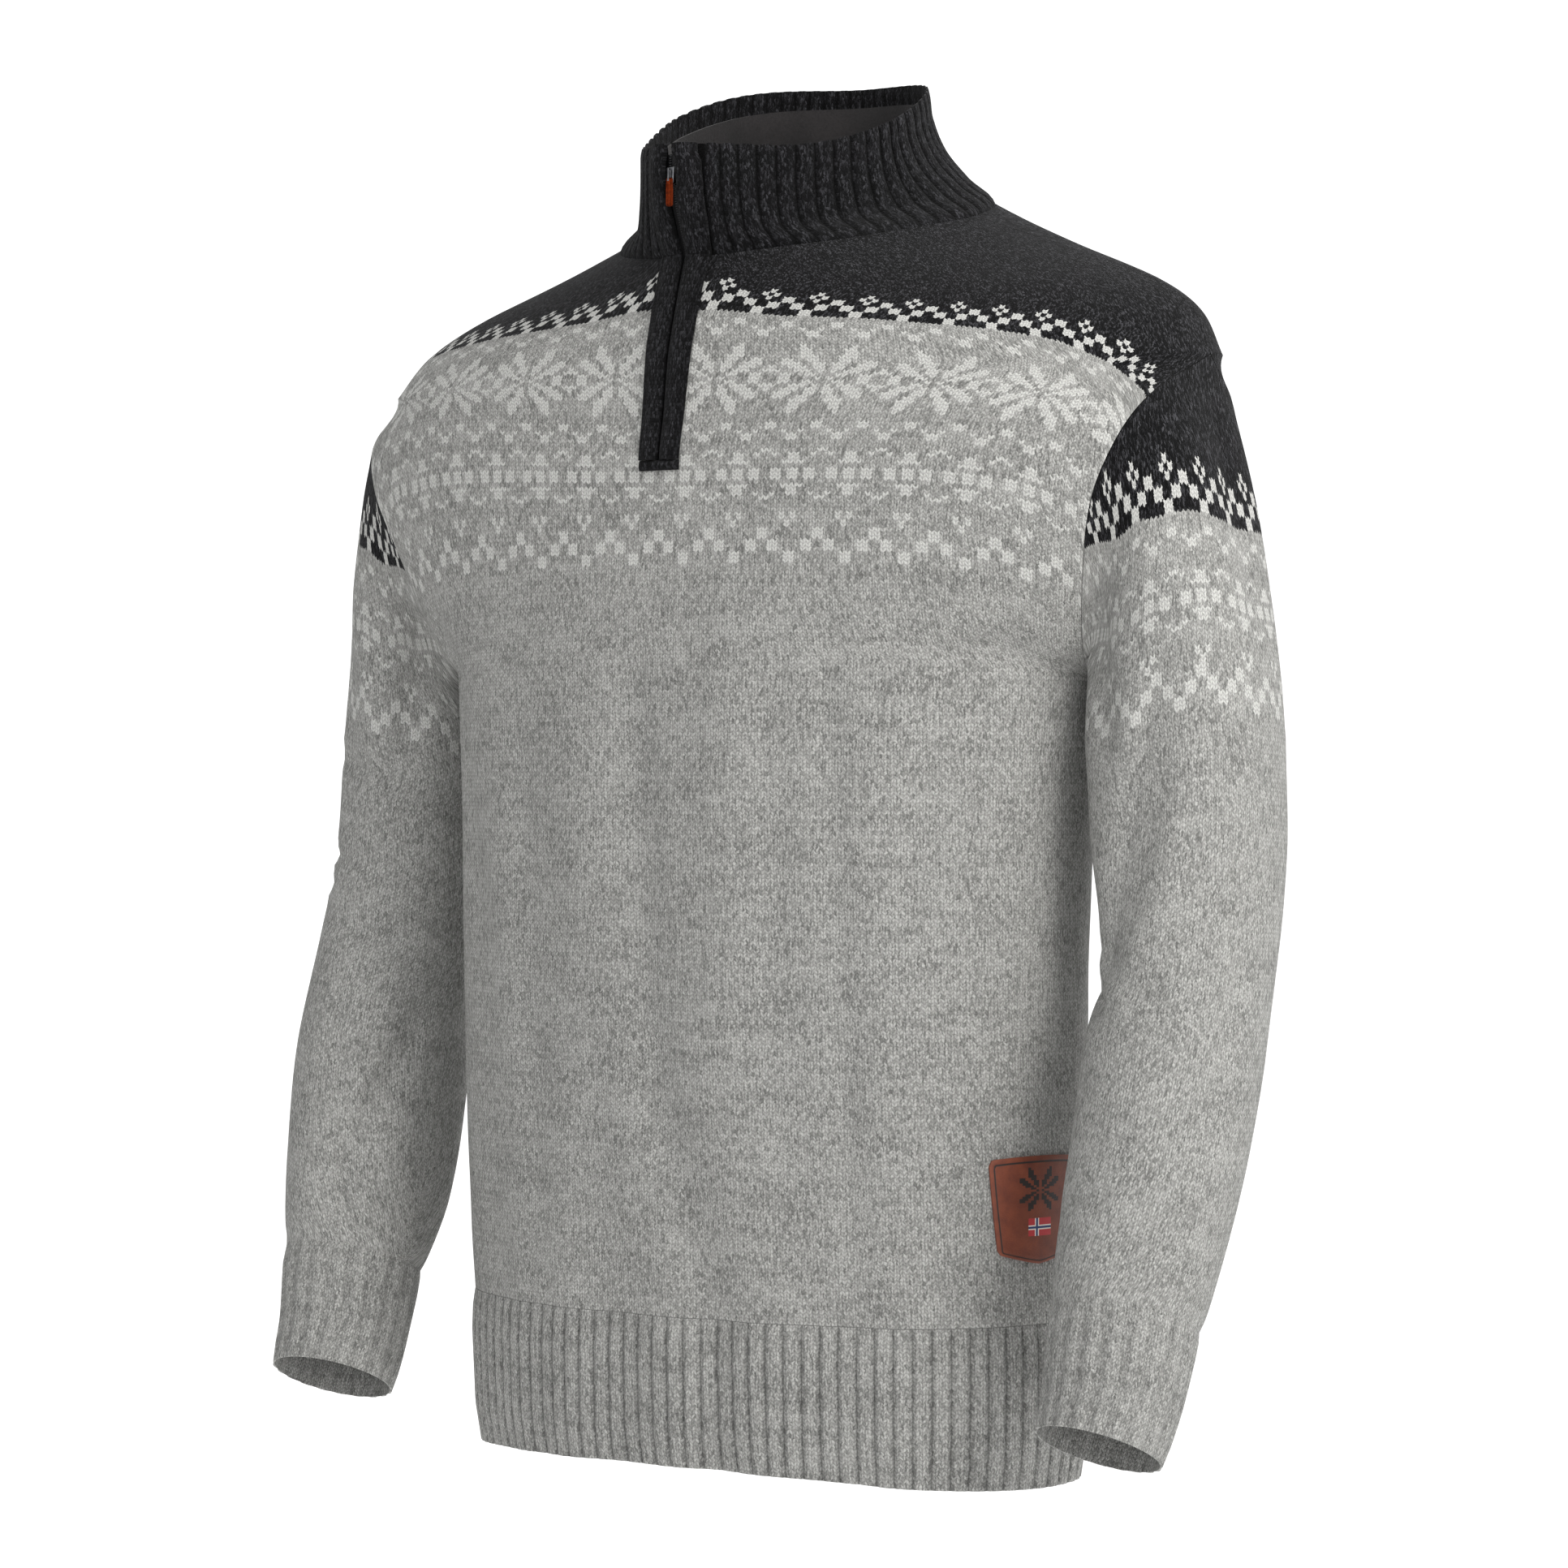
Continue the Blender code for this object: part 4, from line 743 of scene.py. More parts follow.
def sleeveGrid(body, folds):
    loop, ways = armholeLoop(body)
    count = len(loop)
    frames = armFrames(armRows)
    turns = [math.tau * j / count for j in range(count)]
    steps = capSteps * fine
    grid = [[outer + way * armholeGap for (outer, _), way in zip(loop, ways)]]
    for step in range(1, steps):
        t = step / steps
        ring = []
        for j, (start, way) in enumerate(zip(grid[0], ways)):
            end = ringPoint(frames[0], turns[j])
            raised = (1.0 - math.cos(turns[j])) / 2.0
            lean = Vector((capSpread * (1.0 - raised), 0, -capFall * raised))
            lead = (way.normalized() + lean).normalized()
            reach = capReach * (end - start).length
            ring.append(
                start * (2 * t ** 3 - 3 * t ** 2 + 1)
                + lead * reach * (t ** 3 - 2 * t ** 2 + t)
                + end * (3 * t ** 2 - 2 * t ** 3)
                + frames[0][3] * reach * (t ** 3 - t ** 2)
            )
        grid.append(ring)
    grid += [[ringPoint(frame, turn) for turn in turns] for frame in frames]
    for _ in range(capEasings):
        eased = [list(ring) for ring in grid]
        for r in range(1, steps + 1):
            share = 0.5 * smoothStep(r / capEaseRows)
            for j in range(count):
                beside = grid[r][j - 1] + grid[r][(j + 1) % count]
                middle = beside * 0.35 + (grid[r - 1][j] + grid[r + 1][j]) * 0.15
                eased[r][j] = grid[r][j].lerp(middle, share)
        grid = eased
    centres = [sum(ring, Vector()) / count for ring in grid]
    normals = gridNormals(grid, True, lambda r, c: grid[r][c] - centres[r])
    last = len(grid) - 1
    for r in range(1, last):
        fade = edgeFade(r, last, 2 * fine)
        for j in range(count):
            degrees = math.degrees(turns[j])
            depth = sum(foldDepth(folds, degrees + lap, grid[r][j].z) for lap in (-360, 0, 360))
            grid[r][j] = grid[r][j] + normals[r][j] * fade * (depth + settled(grid[r][j]))
    normals = gridNormals(grid, True, lambda r, c: grid[r][c] - centres[r])
    inner = shifted(grid, normals, -knitWall)
    inner[0] = [inside + way * armholeGap for (_, inside), way in zip(loop, ways)]
    return grid, inner, loop


def ribStations(ribs, points):  # shares of the way round, and how high the wall stands there
    shares = [(i + share) / ribs for i in range(ribs) for share, _ in points]
    return shares, [height for _ in range(ribs) for _, height in points]


def cuffGrid(sleeveOuter, sleeveInner):
    endOut, endIn, above = sleeveOuter[-1], sleeveInner[-1], sleeveOuter[-2]
    ways = [(p - q).normalized() for p, q in zip(endOut, above)]
    frames = armFrames((armRows[-1]._replace(steps=1),) + cuffRows)[1:]
    shares, heights = ribStations(cuffRibs, wideRib)

    def between(ring, share):
        position = share * len(ring)
        start = int(position) % len(ring)
        return ring[start].lerp(ring[(start + 1) % len(ring)], position - int(position))

    outer = [[between(endOut, s) + between(ways, s) * seamGap for s in shares]]
    inner = [[between(endIn, s) + between(ways, s) * seamGap for s in shares]]
    relief = [heights]
    for index, frame in enumerate(frames, 1):
        ring, plain = [], []
        raised = smoothStep(index / 2.0)
        drawn = cuffRimDraw * smoothStep((index - len(frames) + 2) / 2.0)
        for share, height in zip(shares, heights):
            point = ringPoint(frame, math.tau * share)
            away = (point - frame[0]).normalized()
            ring.append(point + away * (height * raised * cuffRibHeight - drawn))
            plain.append(point - away * (ribWall - drawn))
        outer.append(ring)
        inner.append(plain)
        relief.append(heights)
    return outer, inner, relief


def hemGrid(panelOuter, panelInner):
    chainOut, chainIn = panelOuter[0], panelInner[0]
    shares, heights = ribStations(hemRibsEach, narrowRib)
    shares, heights = shares + [1.0], heights + [0.0]
    topOut = [pointOn(chainOut, s) for s in shares]
    topIn = [matched(chainOut, chainIn, s) for s in shares]
    outs = [Vector((p.x - q.x, p.y - q.y, 0.0)).normalized() for p, q in zip(topOut, topIn)]
    width = abs(chainOut[0].x)
    deepest = hemRows[-1].drop
    outer = [[p + Vector((0, 0, -seamGap)) for p in topOut]]
    inner = [[p + Vector((0, 0, -seamGap)) for p in topIn]]
    relief = [heights]
    rows = (HemRow(0.0, 0.0),) + hemRows
    for step in range(1, hemSteps + 1):
        drop = deepest * step / hemSteps
        index = max(i for i in range(len(rows) - 1) if rows[i].drop < drop)
        low, high = rows[index], rows[index + 1]
        drawIn = low.drawIn + (high.drawIn - low.drawIn) * (drop - low.drop) / (high.drop - low.drop)
        raised = smoothStep(step / 2.0)
        ring, plain = [], []
        for p, away, height in zip(topOut, outs, heights):
            side = hemSideDrop * (p.x / width) ** 2 * drop / deepest
            wave = noise.noise(Vector((p.x * hemWaves, p.y * hemWaves, 4.0)))
            wave = hemWave * smoothStep(drop / deepest) * wave
            place = Vector((p.x, p.y, p.z - drop - side)) + away * wave
            ring.append(place + away * (height * raised * hemRibHeight - drawIn))
            plain.append(place - away * (ribWall + drawIn))
        outer.append(ring)
        inner.append(plain)
        relief.append(heights)
    return outer, inner, relief


def neckChain(body):
    front, frontInner, _ = body["front"]
    back, backInner, _ = body["back"]
    half = len(front[0]) // 2

    def entry(outer, inner, column):
        way = (outer[-1][column] - outer[-2][column]).normalized()
        return (outer[-1][column], inner[-1][column], way)

    left = [entry(front, frontInner, c) for c in range(half, len(front[0]))]
    right = [entry(front, frontInner, c) for c in range(half)]
    behind = [entry(back, backInner, c) for c in reversed(range(len(back[0])))]
    leftJoin = tuple((a + b) / 2.0 for a, b in zip(left[-1], behind[0]))
    rightJoin = tuple((a + b) / 2.0 for a, b in zip(behind[-1], right[0]))
    return left[:-1] + [leftJoin] + behind[1:-1] + [rightJoin] + right[1:]


def collarTopPoint(turn):
    ahead = math.cos(turn) > 0.0
    power = collarProwPower if ahead else 1.0
    depth = collarFrontDepth if ahead else collarBackDepth
    x = collarHalfWidth * signedPower(math.sin(turn), power)
    y = -depth * signedPower(math.cos(turn), power)
    height = collarFrontTop + collarRise * smoothStep((y - collarRiseStart) / collarRiseLength)
    if x < 0.0:
        height += collarRightLift * (x / collarHalfWidth) ** 2
    return Vector((x, y, height))


def rimTurn(distance):
    return math.asin((distance / collarHalfWidth) ** (1.0 / collarProwPower))


def flareLeft(row, turn):
    fromFront = min(turn, math.tau - turn)
    if fromFront < flankTurn:
        return row.front + (row.flank - row.front) * smoothStep(fromFront / flankTurn)
    share = smoothStep((fromFront - flankTurn) / (restTurn - flankTurn))
    return row.flank + (row.rest - row.flank) * share


def collarStations(chain):
    lengths = chainLengths([entry[0] for entry in chain])
    ground = lengths[groundFine] / lengths[-1]
    ribs = [ground + (1.0 - 2.0 * ground) * i / collarRibs for i in range(collarRibs + 1)]
    slitTurn, groundTurn = rimTurn(slitHalf), rimTurn(bandGround)
    span = math.tau - 2.0 * groundTurn
    turns = [groundTurn + span * i / collarRibs for i in range(collarRibs + 1)]
    return [0.0] + ribs + [1.0], [slitTurn] + turns + [math.tau - slitTurn]


def collarFineRows():  # the collar's rows at finer steps, eased from row to row
    table = (CollarRow(0.0, 1.0, 1.0, 1.0),) + collarRows
    found = []
    for step in range(1, collarSteps + 1):
        rise = step / collarSteps
        index = max(i for i in range(len(table) - 1) if table[i].rise < rise)
        low, high = table[index], table[index + 1]
        before, after = table[max(index - 1, 0)], table[min(index + 2, len(table) - 1)]
        share = (rise - low.rise) / (high.rise - low.rise)
        front, flank, rest = (
            max(0.0, spline(*(getattr(row, name) for row in (before, low, high, after)), share))
            for name in ("front", "flank", "rest")
        )
        found.append(CollarRow(rise, front, flank, rest))
    return found


def collarGrids(body):
    chain = neckChain(body)
    outs, ins, ways = ([entry[k] for entry in chain] for k in range(3))
    shares, turns = collarStations(chain)
    stations = []
    for cell in range(len(shares) - 1):
        plain = cell in (0, len(shares) - 2)
        for along, height in narrowRib:
            share = shares[cell] + (shares[cell + 1] - shares[cell]) * along
            turn = turns[cell] + (turns[cell + 1] - turns[cell]) * along
            stations.append((share, turn, 0.0 if plain else height))
    stations.append((shares[-1], turns[-1], 0.0))
    bases = [pointOn(outs, s) for s, _, _ in stations]
    lifts = [matched(outs, ways, s).normalized() for s, _, _ in stations]
    rows = collarFineRows()
    smooth = [[b + w * seamGap for b, w in zip(bases, lifts)]]
    for row in rows:
        ring = []
        for base, (_, turn, _) in zip(bases, stations):
            top = collarTopPoint(turn)
            point = top.lerp(base, flareLeft(row, turn))
            point.z = base.z + (top.z - base.z) * row.rise
            ring.append(point)
        smooth.append(ring)
    ribFine = len(narrowRib)
    for ring in smooth:
        for first in (0, len(ring) - 1 - ribFine):
            start, end = ring[first], ring[first + ribFine]
            for k in range(1, ribFine):
                ring[first + k] = start.lerp(end, k / ribFine)
    normals = levelNormals(smooth)
    outer, inner = [], []
    for r, ring in enumerate(smooth):
        rise = rows[r - 1].rise if r else 0.0
        shrink = collarRimDraw * smoothStep((rise - collarRimStart) / (1.0 - collarRimStart))
        raised = collarRibHeight * smoothStep(r / 2.0)
        outer.append([
            p + n * (raised * station[2] - shrink) for p, n, station in zip(ring, normals[r], stations)
        ])
        inner.append([p - n * (ribWall - shrink) for p, n in zip(ring, normals[r])])
    for ring in outer[-collarRimRows:]:  # the rim dips between the ribs
        for point, station in zip(ring, stations):
            point.z += collarRimDip * (station[2] - ribMeanHeight)
    inner[0] = [matched(outs, ins, s) + lift * seamGap for (s, _, _), lift in zip(stations, lifts)]
    relief = [[station[2] for station in stations] for _ in smooth]
    return outer, inner, smooth, normals, relief, rows


def liningGrids(collarInner, rows):
    first = len(narrowRib)
    columns = range(first, len(collarInner[0]) - first)
    low, high = liningSpan
    rings = [
        [collarInner[r][c] for c in columns] for r, row in enumerate(rows, 1) if low <= row.rise <= high
    ]
    normals = levelNormals(rings)
    rings[0] = [p - n * liningFootEase for p, n in zip(rings[0], normals[0])]
    return shifted(rings, normals, -seamGap), shifted(rings, normals, -seamGap - liningWall)


def groundRows(body, collar, side):
    front, _, normals = body["front"]
    smooth, collarNormals = collar[2], collar[3]
    half = len(front[0]) // 2
    ribFine = len(narrowRib)
    near, far = (half, half + groundFine) if side > 0 else (half - 1, half - 1 - groundFine)
    rimNear, rimFar = (0, ribFine) if side > 0 else (-1, -1 - ribFine)
    rows = [(front[r][near], front[r][far], normals[r][near]) for r in range(slitFootRow(), len(front))]
    rows += [
        (smooth[r][rimNear], smooth[r][rimFar], collarNormals[r][rimNear]) for r in range(1, len(smooth))
    ]
    if side > 0:
        return rows
    return mirrored(rows)


def bandRow(height):  # the parting and the width of a band there
    return [tableAt([(row.height, row[column]) for row in bandRows], height) for column in (1, 2)]


def bandGrids(rows):
    depth, place, halfWidth = bandGroove
    standFrom, standRun, standOut = bandStandOut
    outer, inner, relief = [], [], []
    for edge, far, normal in rows:
        across = (far - edge).normalized()
        stood = 1.0 + standOut * smoothStep((edge.z - standFrom) / standRun)
        parting, width = bandRow(edge.z)
        start = edge + across * (parting - slitHalf) / across.x
        end = start + across * width
        ground, ring, line = [], [], []
        for step in range(bandSteps + 1):
            share = step / bandSteps
            swell = math.sin(math.pi * min(max(share, 0.02), 0.98)) ** bandSwellPower
            groove = depth * math.exp(-((share - place) / halfWidth) ** 2)
            thick = (bandEdgeThick + (bandThick - bandEdgeThick) * (swell - groove)) * stood
            ground.append(start.lerp(end, share) + normal * bandGap)
            ring.append(ground[-1] + normal * thick)
            # painted shade: these relief values darken the band's colour in its stitched groove and
            # towards its edges
            line.append(swell - 3.0 * groove)
        outer.append(ring)
        inner.append(ground)
        relief.append(line)
    return outer, inner, relief


def tapeGrids(body, collar):
    front, frontInner, normals = body["front"]
    collarInner, collarNormals = collar[1], collar[3]
    half = len(front[0]) // 2
    ribFine = len(narrowRib)
    rows = [
        (frontInner[r][half], frontInner[r][half + groundFine], normals[r][half])
        for r in range(slitFootRow() - fine, len(front))
    ]
    rows += [
        (collarInner[r][0], collarInner[r][ribFine], collarNormals[r][0])
        for r in range(1, len(collarInner) - 2)
    ]
    outer, inner = [], []
    for edge, far, normal in rows:
        inward = Vector((0.0, -normal.y, -normal.z)).normalized()
        beside = edge.lerp(far, (tapeHalf - edge.x) / (far.x - edge.x)) + inward * tapeGap
        ridge = Vector((0.0, edge.y, edge.z)) + inward * tapeGap
        left = [flipped(beside).lerp(ridge, k / tapeRidge) for k in range(tapeRidge + 1)]
        line = left + [flipped(p) for p in reversed(left[:-1])]
        outer.append(line)
        inner.append([p + inward * tapeWall for p in line])
    return outer, inner


# ---- meshes and their stitch coordinates: u counts stitches across, v counts courses downwards

knit = {
    "bodyStitch": 0.00345, "bodyCourse": 0.00212,
    "sleeveStitch": 0.00305, "sleeveCourse": 0.00245,
    "ribCourse": 0.0022, "bandStitch": 0.0026, "bandCourse": 0.0021,
    "yokeHeight": -0.0734,  # where the charcoal yoke ends at centre front
    "bodyHalf": 0.272,  # half the body's girth at the underarm
    "yokeRise": (  # stitches across the front, rows that the worn yoke rides up there
        (-80, 18.0), (-62, 18.0), (-44, 14.0), (-28, 8.5), (-13, 3.0), (0, 0.0), (18, 1.2), (32, 4.0),
        (46, 5.0), (60, 5.0), (67, 1.5), (75, -5.0), (80, -10.0),
    ),
    "riseReach": (90.0, 45.0),  # rows below the charcoal over which that fades, right and left
    "yokeLean": (0.28, 2.0, 20.0),  # stitches that a wale leans for each row, its first row, most rows
    "yokeCrowd": (  # stitches across the front, stitches that the armhole draws together there
        (0, 0.0), (34, 0.2), (45, 2.4), (51, 4.5), (57, 6.4), (63, 8.6), (68, 11.4), (74, 13.4),
        (84, 15.0),
    ),
    "crowdFade": (14.0, 18.0),  # the row where the crowding ends, and the rows over which it fades
    "yokeSquash": 0.88,  # how much flatter the charcoal's rows lie
    "backDip": (11.0, 40.0),  # rows that the back's courses dip at the sides, and the stitch it starts at
    "sleeveYoke": (  # turn round the arm in degrees, height where its charcoal ends
        (0, -0.222), (50, -0.214), (70, -0.203), (105, -0.192), (140, -0.187), (180, -0.195),
        (213, -0.196), (320, -0.215), (360, -0.222),
    ),
}


def clothWall(name, outer, inner, uv, relief=None, closed=False, cut=()):
    rows, columns = len(outer), len(outer[0])
    cells = columns if closed else columns - 1
    faces, corners = [], []

    def put(*spots):  # a face, its corners given as layer, row and column
        faces.append([layer * rows * columns + r * columns + c % columns for layer, r, c in spots])
        corners.extend((r, c) for _, r, c in spots)

    for r in range(rows - 1):
        for c in range(cells):
            if (r, c) in cut:
                continue
            put((0, r, c), (0, r, c + 1), (0, r + 1, c + 1), (0, r + 1, c))
            put((1, r, c), (1, r + 1, c), (1, r + 1, c + 1), (1, r, c + 1))
            for edge, beyond in ((r, r - 1), (r + 1, r + 1)):
                if not 0 <= beyond < rows - 1 or (beyond, c) in cut:
                    put((0, edge, c), (0, edge, c + 1), (1, edge, c + 1), (1, edge, c))
            for edge, beyond in ((c, c - 1), (c + 1, c + 1)):
                beyond = beyond % cells if closed else beyond
                if not 0 <= beyond < cells or (r, beyond) in cut:
                    put((0, r, edge), (0, r + 1, edge), (1, r + 1, edge), (1, r, edge))
    mesh = bpy.data.meshes.new(name)
    mesh.from_pydata([tuple(p) for grid in (outer, inner) for line in grid for p in line], [], faces)
    layer = mesh.uv_layers.new(name="knit")
    layer.data.foreach_set("uv", [x for r, c in corners for x in uv[r][c]])
    # relief: rib heights that the knit shader turns into painted shade in the grooves; on the leather
    # patch, millimetres from its edge
    if relief:
        values = [h for line in relief for h in line] * 2
        mesh.attributes.new("relief", "FLOAT", "POINT").data.foreach_set("value", values)
    bm = bmesh.new()
    bm.from_mesh(mesh)
    bmesh.ops.recalc_face_normals(bm, faces=bm.faces)
    bm.to_mesh(mesh)
    bm.free()
    mesh.shade_smooth()
    mesh.set_sharp_from_angle(angle=math.radians(60))
    piece = bpy.data.objects.new(name, mesh)
    bpy.context.scene.collection.objects.link(piece)
    return piece


def bodyUv(grid, underarm, boundary):
    across = []
    for r, line in enumerate(grid):
        along = chainLengths(line)
        index = max(i for i, p in enumerate(line) if p.x <= 0.0)
        share = -line[index].x / (line[index + 1].x - line[index].x)
        middle = along[index] + (along[index + 1] - along[index]) * share
        ease = (2.0 * knit["bodyHalf"] / along[-1]) ** 0.5 if r > underarm else 1.0
        across.append([(a - middle) * ease / knit["bodyStitch"] for a in along])
    level = grid[underarm][len(grid[0]) // 2].z
    down = []
    for r, line in enumerate(grid):
        if r <= underarm:
            down.append([boundary + level - p.z for p in line])
        else:
            down.append([d - (p - q).length for d, p, q in zip(down[-1], line, grid[r - 1])])
    return [[(u, d / knit["bodyCourse"]) for u, d in zip(a, line)] for a, line in zip(across, down)]


def wornFront(u, v):  # the worn courses ride up at the flanks, and the wales crowd at the armhole
    rise = tableAt(knit["yokeRise"], u, False)
    reach = knit["riseReach"][0 if u < 0 else 1]
    low = v + rise * min(max(1.0 - v / reach, 0.0), 1.0) ** 2
    end, run = knit["crowdFade"]
    crowd = tableAt(knit["yokeCrowd"], u, False) * smoothStep((end - low) / run)
    lean, start, most = knit["yokeLean"]
    lean *= min(max(start - low, 0.0), most)
    return u + crowd - lean, low if low > 0.0 else low / knit["yokeSquash"]


def wornBack(u, v):
    dip, start = knit["backDip"]
    return u, v - dip * smoothStep((abs(u) - start) / start)


def boundaryLength(grid, underarm):  # along the front's middle, from the underarm row up to the charcoal
    middle = len(grid[0]) // 2
    total = 0.0
    for r in range(underarm, len(grid) - 1):
        low, high = grid[r][middle], grid[r + 1][middle]
        if high.z >= knit["yokeHeight"]:
            return total + (high - low).length * (knit["yokeHeight"] - low.z) / (high.z - low.z)
        total += (high - low).length
    return total


def tableAt(table, x, eased=True):
    for (x0, y0), (x1, y1) in zip(table, table[1:]):
        if x <= x1:
            share = min(max((x - x0) / (x1 - x0), 0.0), 1.0)
            return y0 + (y1 - y0) * (smoothStep(share) if eased else share)
    return table[-1][1]


def sleeveUv(grid):
    count = len(grid[0])
    across = []
    for ring in grid:
        along = chainLengths(ring + [ring[0]])
        across.append([(a - along[count // 2]) / knit["sleeveStitch"] for a in along])
    down = [[0.0] * (count + 1) for _ in grid]
    for j in range(count + 1):
        column = [ring[j % count] for ring in grid]
        along = chainLengths(column)
        level = tableAt(knit["sleeveYoke"], 360.0 * j / count)
        start = min(0.0, column[0].z - level)
        for r in range(len(column) - 1):
            high, low = column[r].z, column[r + 1].z
            if high >= level > low:
                start = along[r] + (along[r + 1] - along[r]) * (high - level) / (high - low)
                break
        for r, a in enumerate(along):
            down[r][j] = (a - start) / knit["sleeveCourse"]
    return [list(zip(a, d)) for a, d in zip(across, down)]


def ribUv(grid, ribPoints, stitches, downwards=True, closed=False):  # so many stitches to a rib
    columns = len(grid[0]) + (1 if closed else 0)
    across = [(c // len(ribPoints) + ribPoints[c % len(ribPoints)][0]) * stitches for c in range(columns)]
    down = [[0.0] * columns for _ in grid]
    for c in range(columns):
        along = chainLengths([line[c % len(grid[0])] for line in grid])
        for r, a in enumerate(along):
            down[r][c] = (a if downwards else along[-1] - a) / knit["ribCourse"]
    return [list(zip(across, line)) for line in down]


def plainUv(grid, stitch, course):
    across = [[a / stitch for a in chainLengths(line)] for line in grid]
    down = list(zip(*[[a / course for a in chainLengths(list(column))] for column in zip(*grid)]))
    return [list(zip(a, d)) for a, d in zip(across, down)]


# ---- the pattern as a chart: o white yarn, # charcoal yarn, . the light ground; each row repeats

starRows = (
    "...o.......o......", "...oo.....oo......", "...oo.....oo......", "...ooo...ooo......",
    "oo..oo...oo..oo...", "ooo..oo.oo..ooo...", ".ooo.oo.oo.ooo....", "..ooo.o.o.ooo.....",
    "....oo...oo.......", "......o.o.........",
)
starRows += starRows[-2::-1]  # an eight-pointed star, mirrored at its middle row
# The ring's white columns, by how many rows they are from the middle row.
ringMarks = {0: (13, 14, 0, 1), 1: (13, 14, 0, 1), 2: (15, 16, 17), 3: (16,)}


def starBand():  # the stars with small lozenge rings between them
    found = []
    for index, row in enumerate(starRows):
        marks = ringMarks.get(abs(index - len(starRows) // 2), ())
        found.append("".join("o" if c in marks else mark for c, mark in enumerate(row)))
    return found


yokeRows = (
    ["####o###"] * 2 + ["###o#o##"] * 2 + ["o###o##o"] * 2 + ["o######o"] + ["#oo##oo#"] * 3
    + ["###oo###"] * 3
)
seedRows = ["...oo..."] * 2 + [".o....o."] + ["o......o"] * 2
flowerRows = ["o........o", ".o..oo..o.", "....oo....", "...oooo...", ".........."]
flowerRows += [".oo.oo.oo."] * 3 + flowerRows[::-1]
tickRows = ["...o.o...."] * 2 + ["....o....."] * 2
bodyZigzag = ["o........o"] * 3 + [".oo....oo."] * 3 + ["....oo...."] * 3
sleeveZigzag = ["o......o"] * 3 + [".oo..oo."] * 3 + ["...oo..."] * 3


def chartRows(parts, last):  # parts maps a row number to the rows that start there, and their shift
    first = min(parts)
    rows = ["."] * (last - first + 1)
    for start, (block, shift) in parts.items():
        for index, row in enumerate(block, start - first):
            rows[index] = row[-shift % len(row):] + row[:-shift % len(row)]
    return first, rows


bodyChart = chartRows({
    -13: (yokeRows, 2), 2: (seedRows, 0), 9: (starBand(), 1), 30: (seedRows, 0), 37: (flowerRows, 0),
    53: (tickRows, 0), 57: (bodyZigzag, 0),
}, 65)
sleeveChart = chartRows({
    -13: (yokeRows, 0), 3: (seedRows, 0), 12: (flowerRows, 0), 29: (tickRows, 0), 33: (sleeveZigzag, 0),
}, 41)
print("the stitch chart has", len(bodyChart[1]), "body rows and", len(sleeveChart[1]), "sleeve rows")

# ---- materials

yarns = {
    "marlLight": "#9E9E9B", "marlDark": "#646462", "white": "#B6B6B3", "whiteShade": "#ACACA9",
    "charcoalDark": "#0A0A0B", "charcoalFleck": "#353538", "plainFleck": "#3E3E41", "seamDark": "#161617",
    "fleece": "#121011", "fleeceNapHighlight": "#201D1E", "leather": "#743821", "leatherDark": "#522416",
    "edgeInk": "#1C1512", "flagRed": "#A62B2F", "flagBlue": "#22355F", "flagWhite": "#D9D3CB",
    "rust": "#6A2404", "rustDark": "#451503", "tape": "#222224", "teeth": "#3A3A3D",
    "metal": "#66676A", "metalWorn": "#7C7D80",
}
rampRows = 30  # chart rows to a colour ramp, which holds 32 stops
rampSize = 256.0  # steps that the renderer reads a ramp in


def newMaterial(name, roughness, sheen=0.0, metallic=0.0, gloss=0.5):
    material = bpy.data.materials.new(name)
    material.use_nodes = True
    for socket, value in (
        ("Roughness", roughness), ("Metallic", metallic), ("Specular IOR Level", gloss),
        ("Sheen Weight", sheen), ("Sheen Roughness", 0.5),
    ):
        material.node_tree.nodes["Principled BSDF"].inputs[socket].default_value = value
    return material, material.node_tree


def finished(material, colour, height, strength, distance):  # its colour and its relief
    tree = material.node_tree
    shader = tree.nodes["Principled BSDF"].inputs
    bump = addNode(tree, "ShaderNodeBump", {"Height": height, "Strength": strength, "Distance": distance})
    tree.links.new(colour, shader["Base Color"])
    tree.links.new(bump, shader["Normal"])
    return material


def mixed(share, first, second):  # each colour is a socket or the name of a yarn
    first, second = (hexColour(yarns[c]) if isinstance(c, str) else c for c in (first, second))
    sockets = {0: share, 6: first, 7: second}
    return addNode(share.id_data, "ShaderNodeMix", sockets, out=2, data_type="RGBA")


def grain(place, scale, detail, roughness=0.5, dimensions="3D", out=0):
    sockets = {"Vector": place, "Scale": scale, "Detail": detail, "Roughness": roughness}
    return addNode(place.id_data, "ShaderNodeTexNoise", sockets, out, noise_dimensions=dimensions)


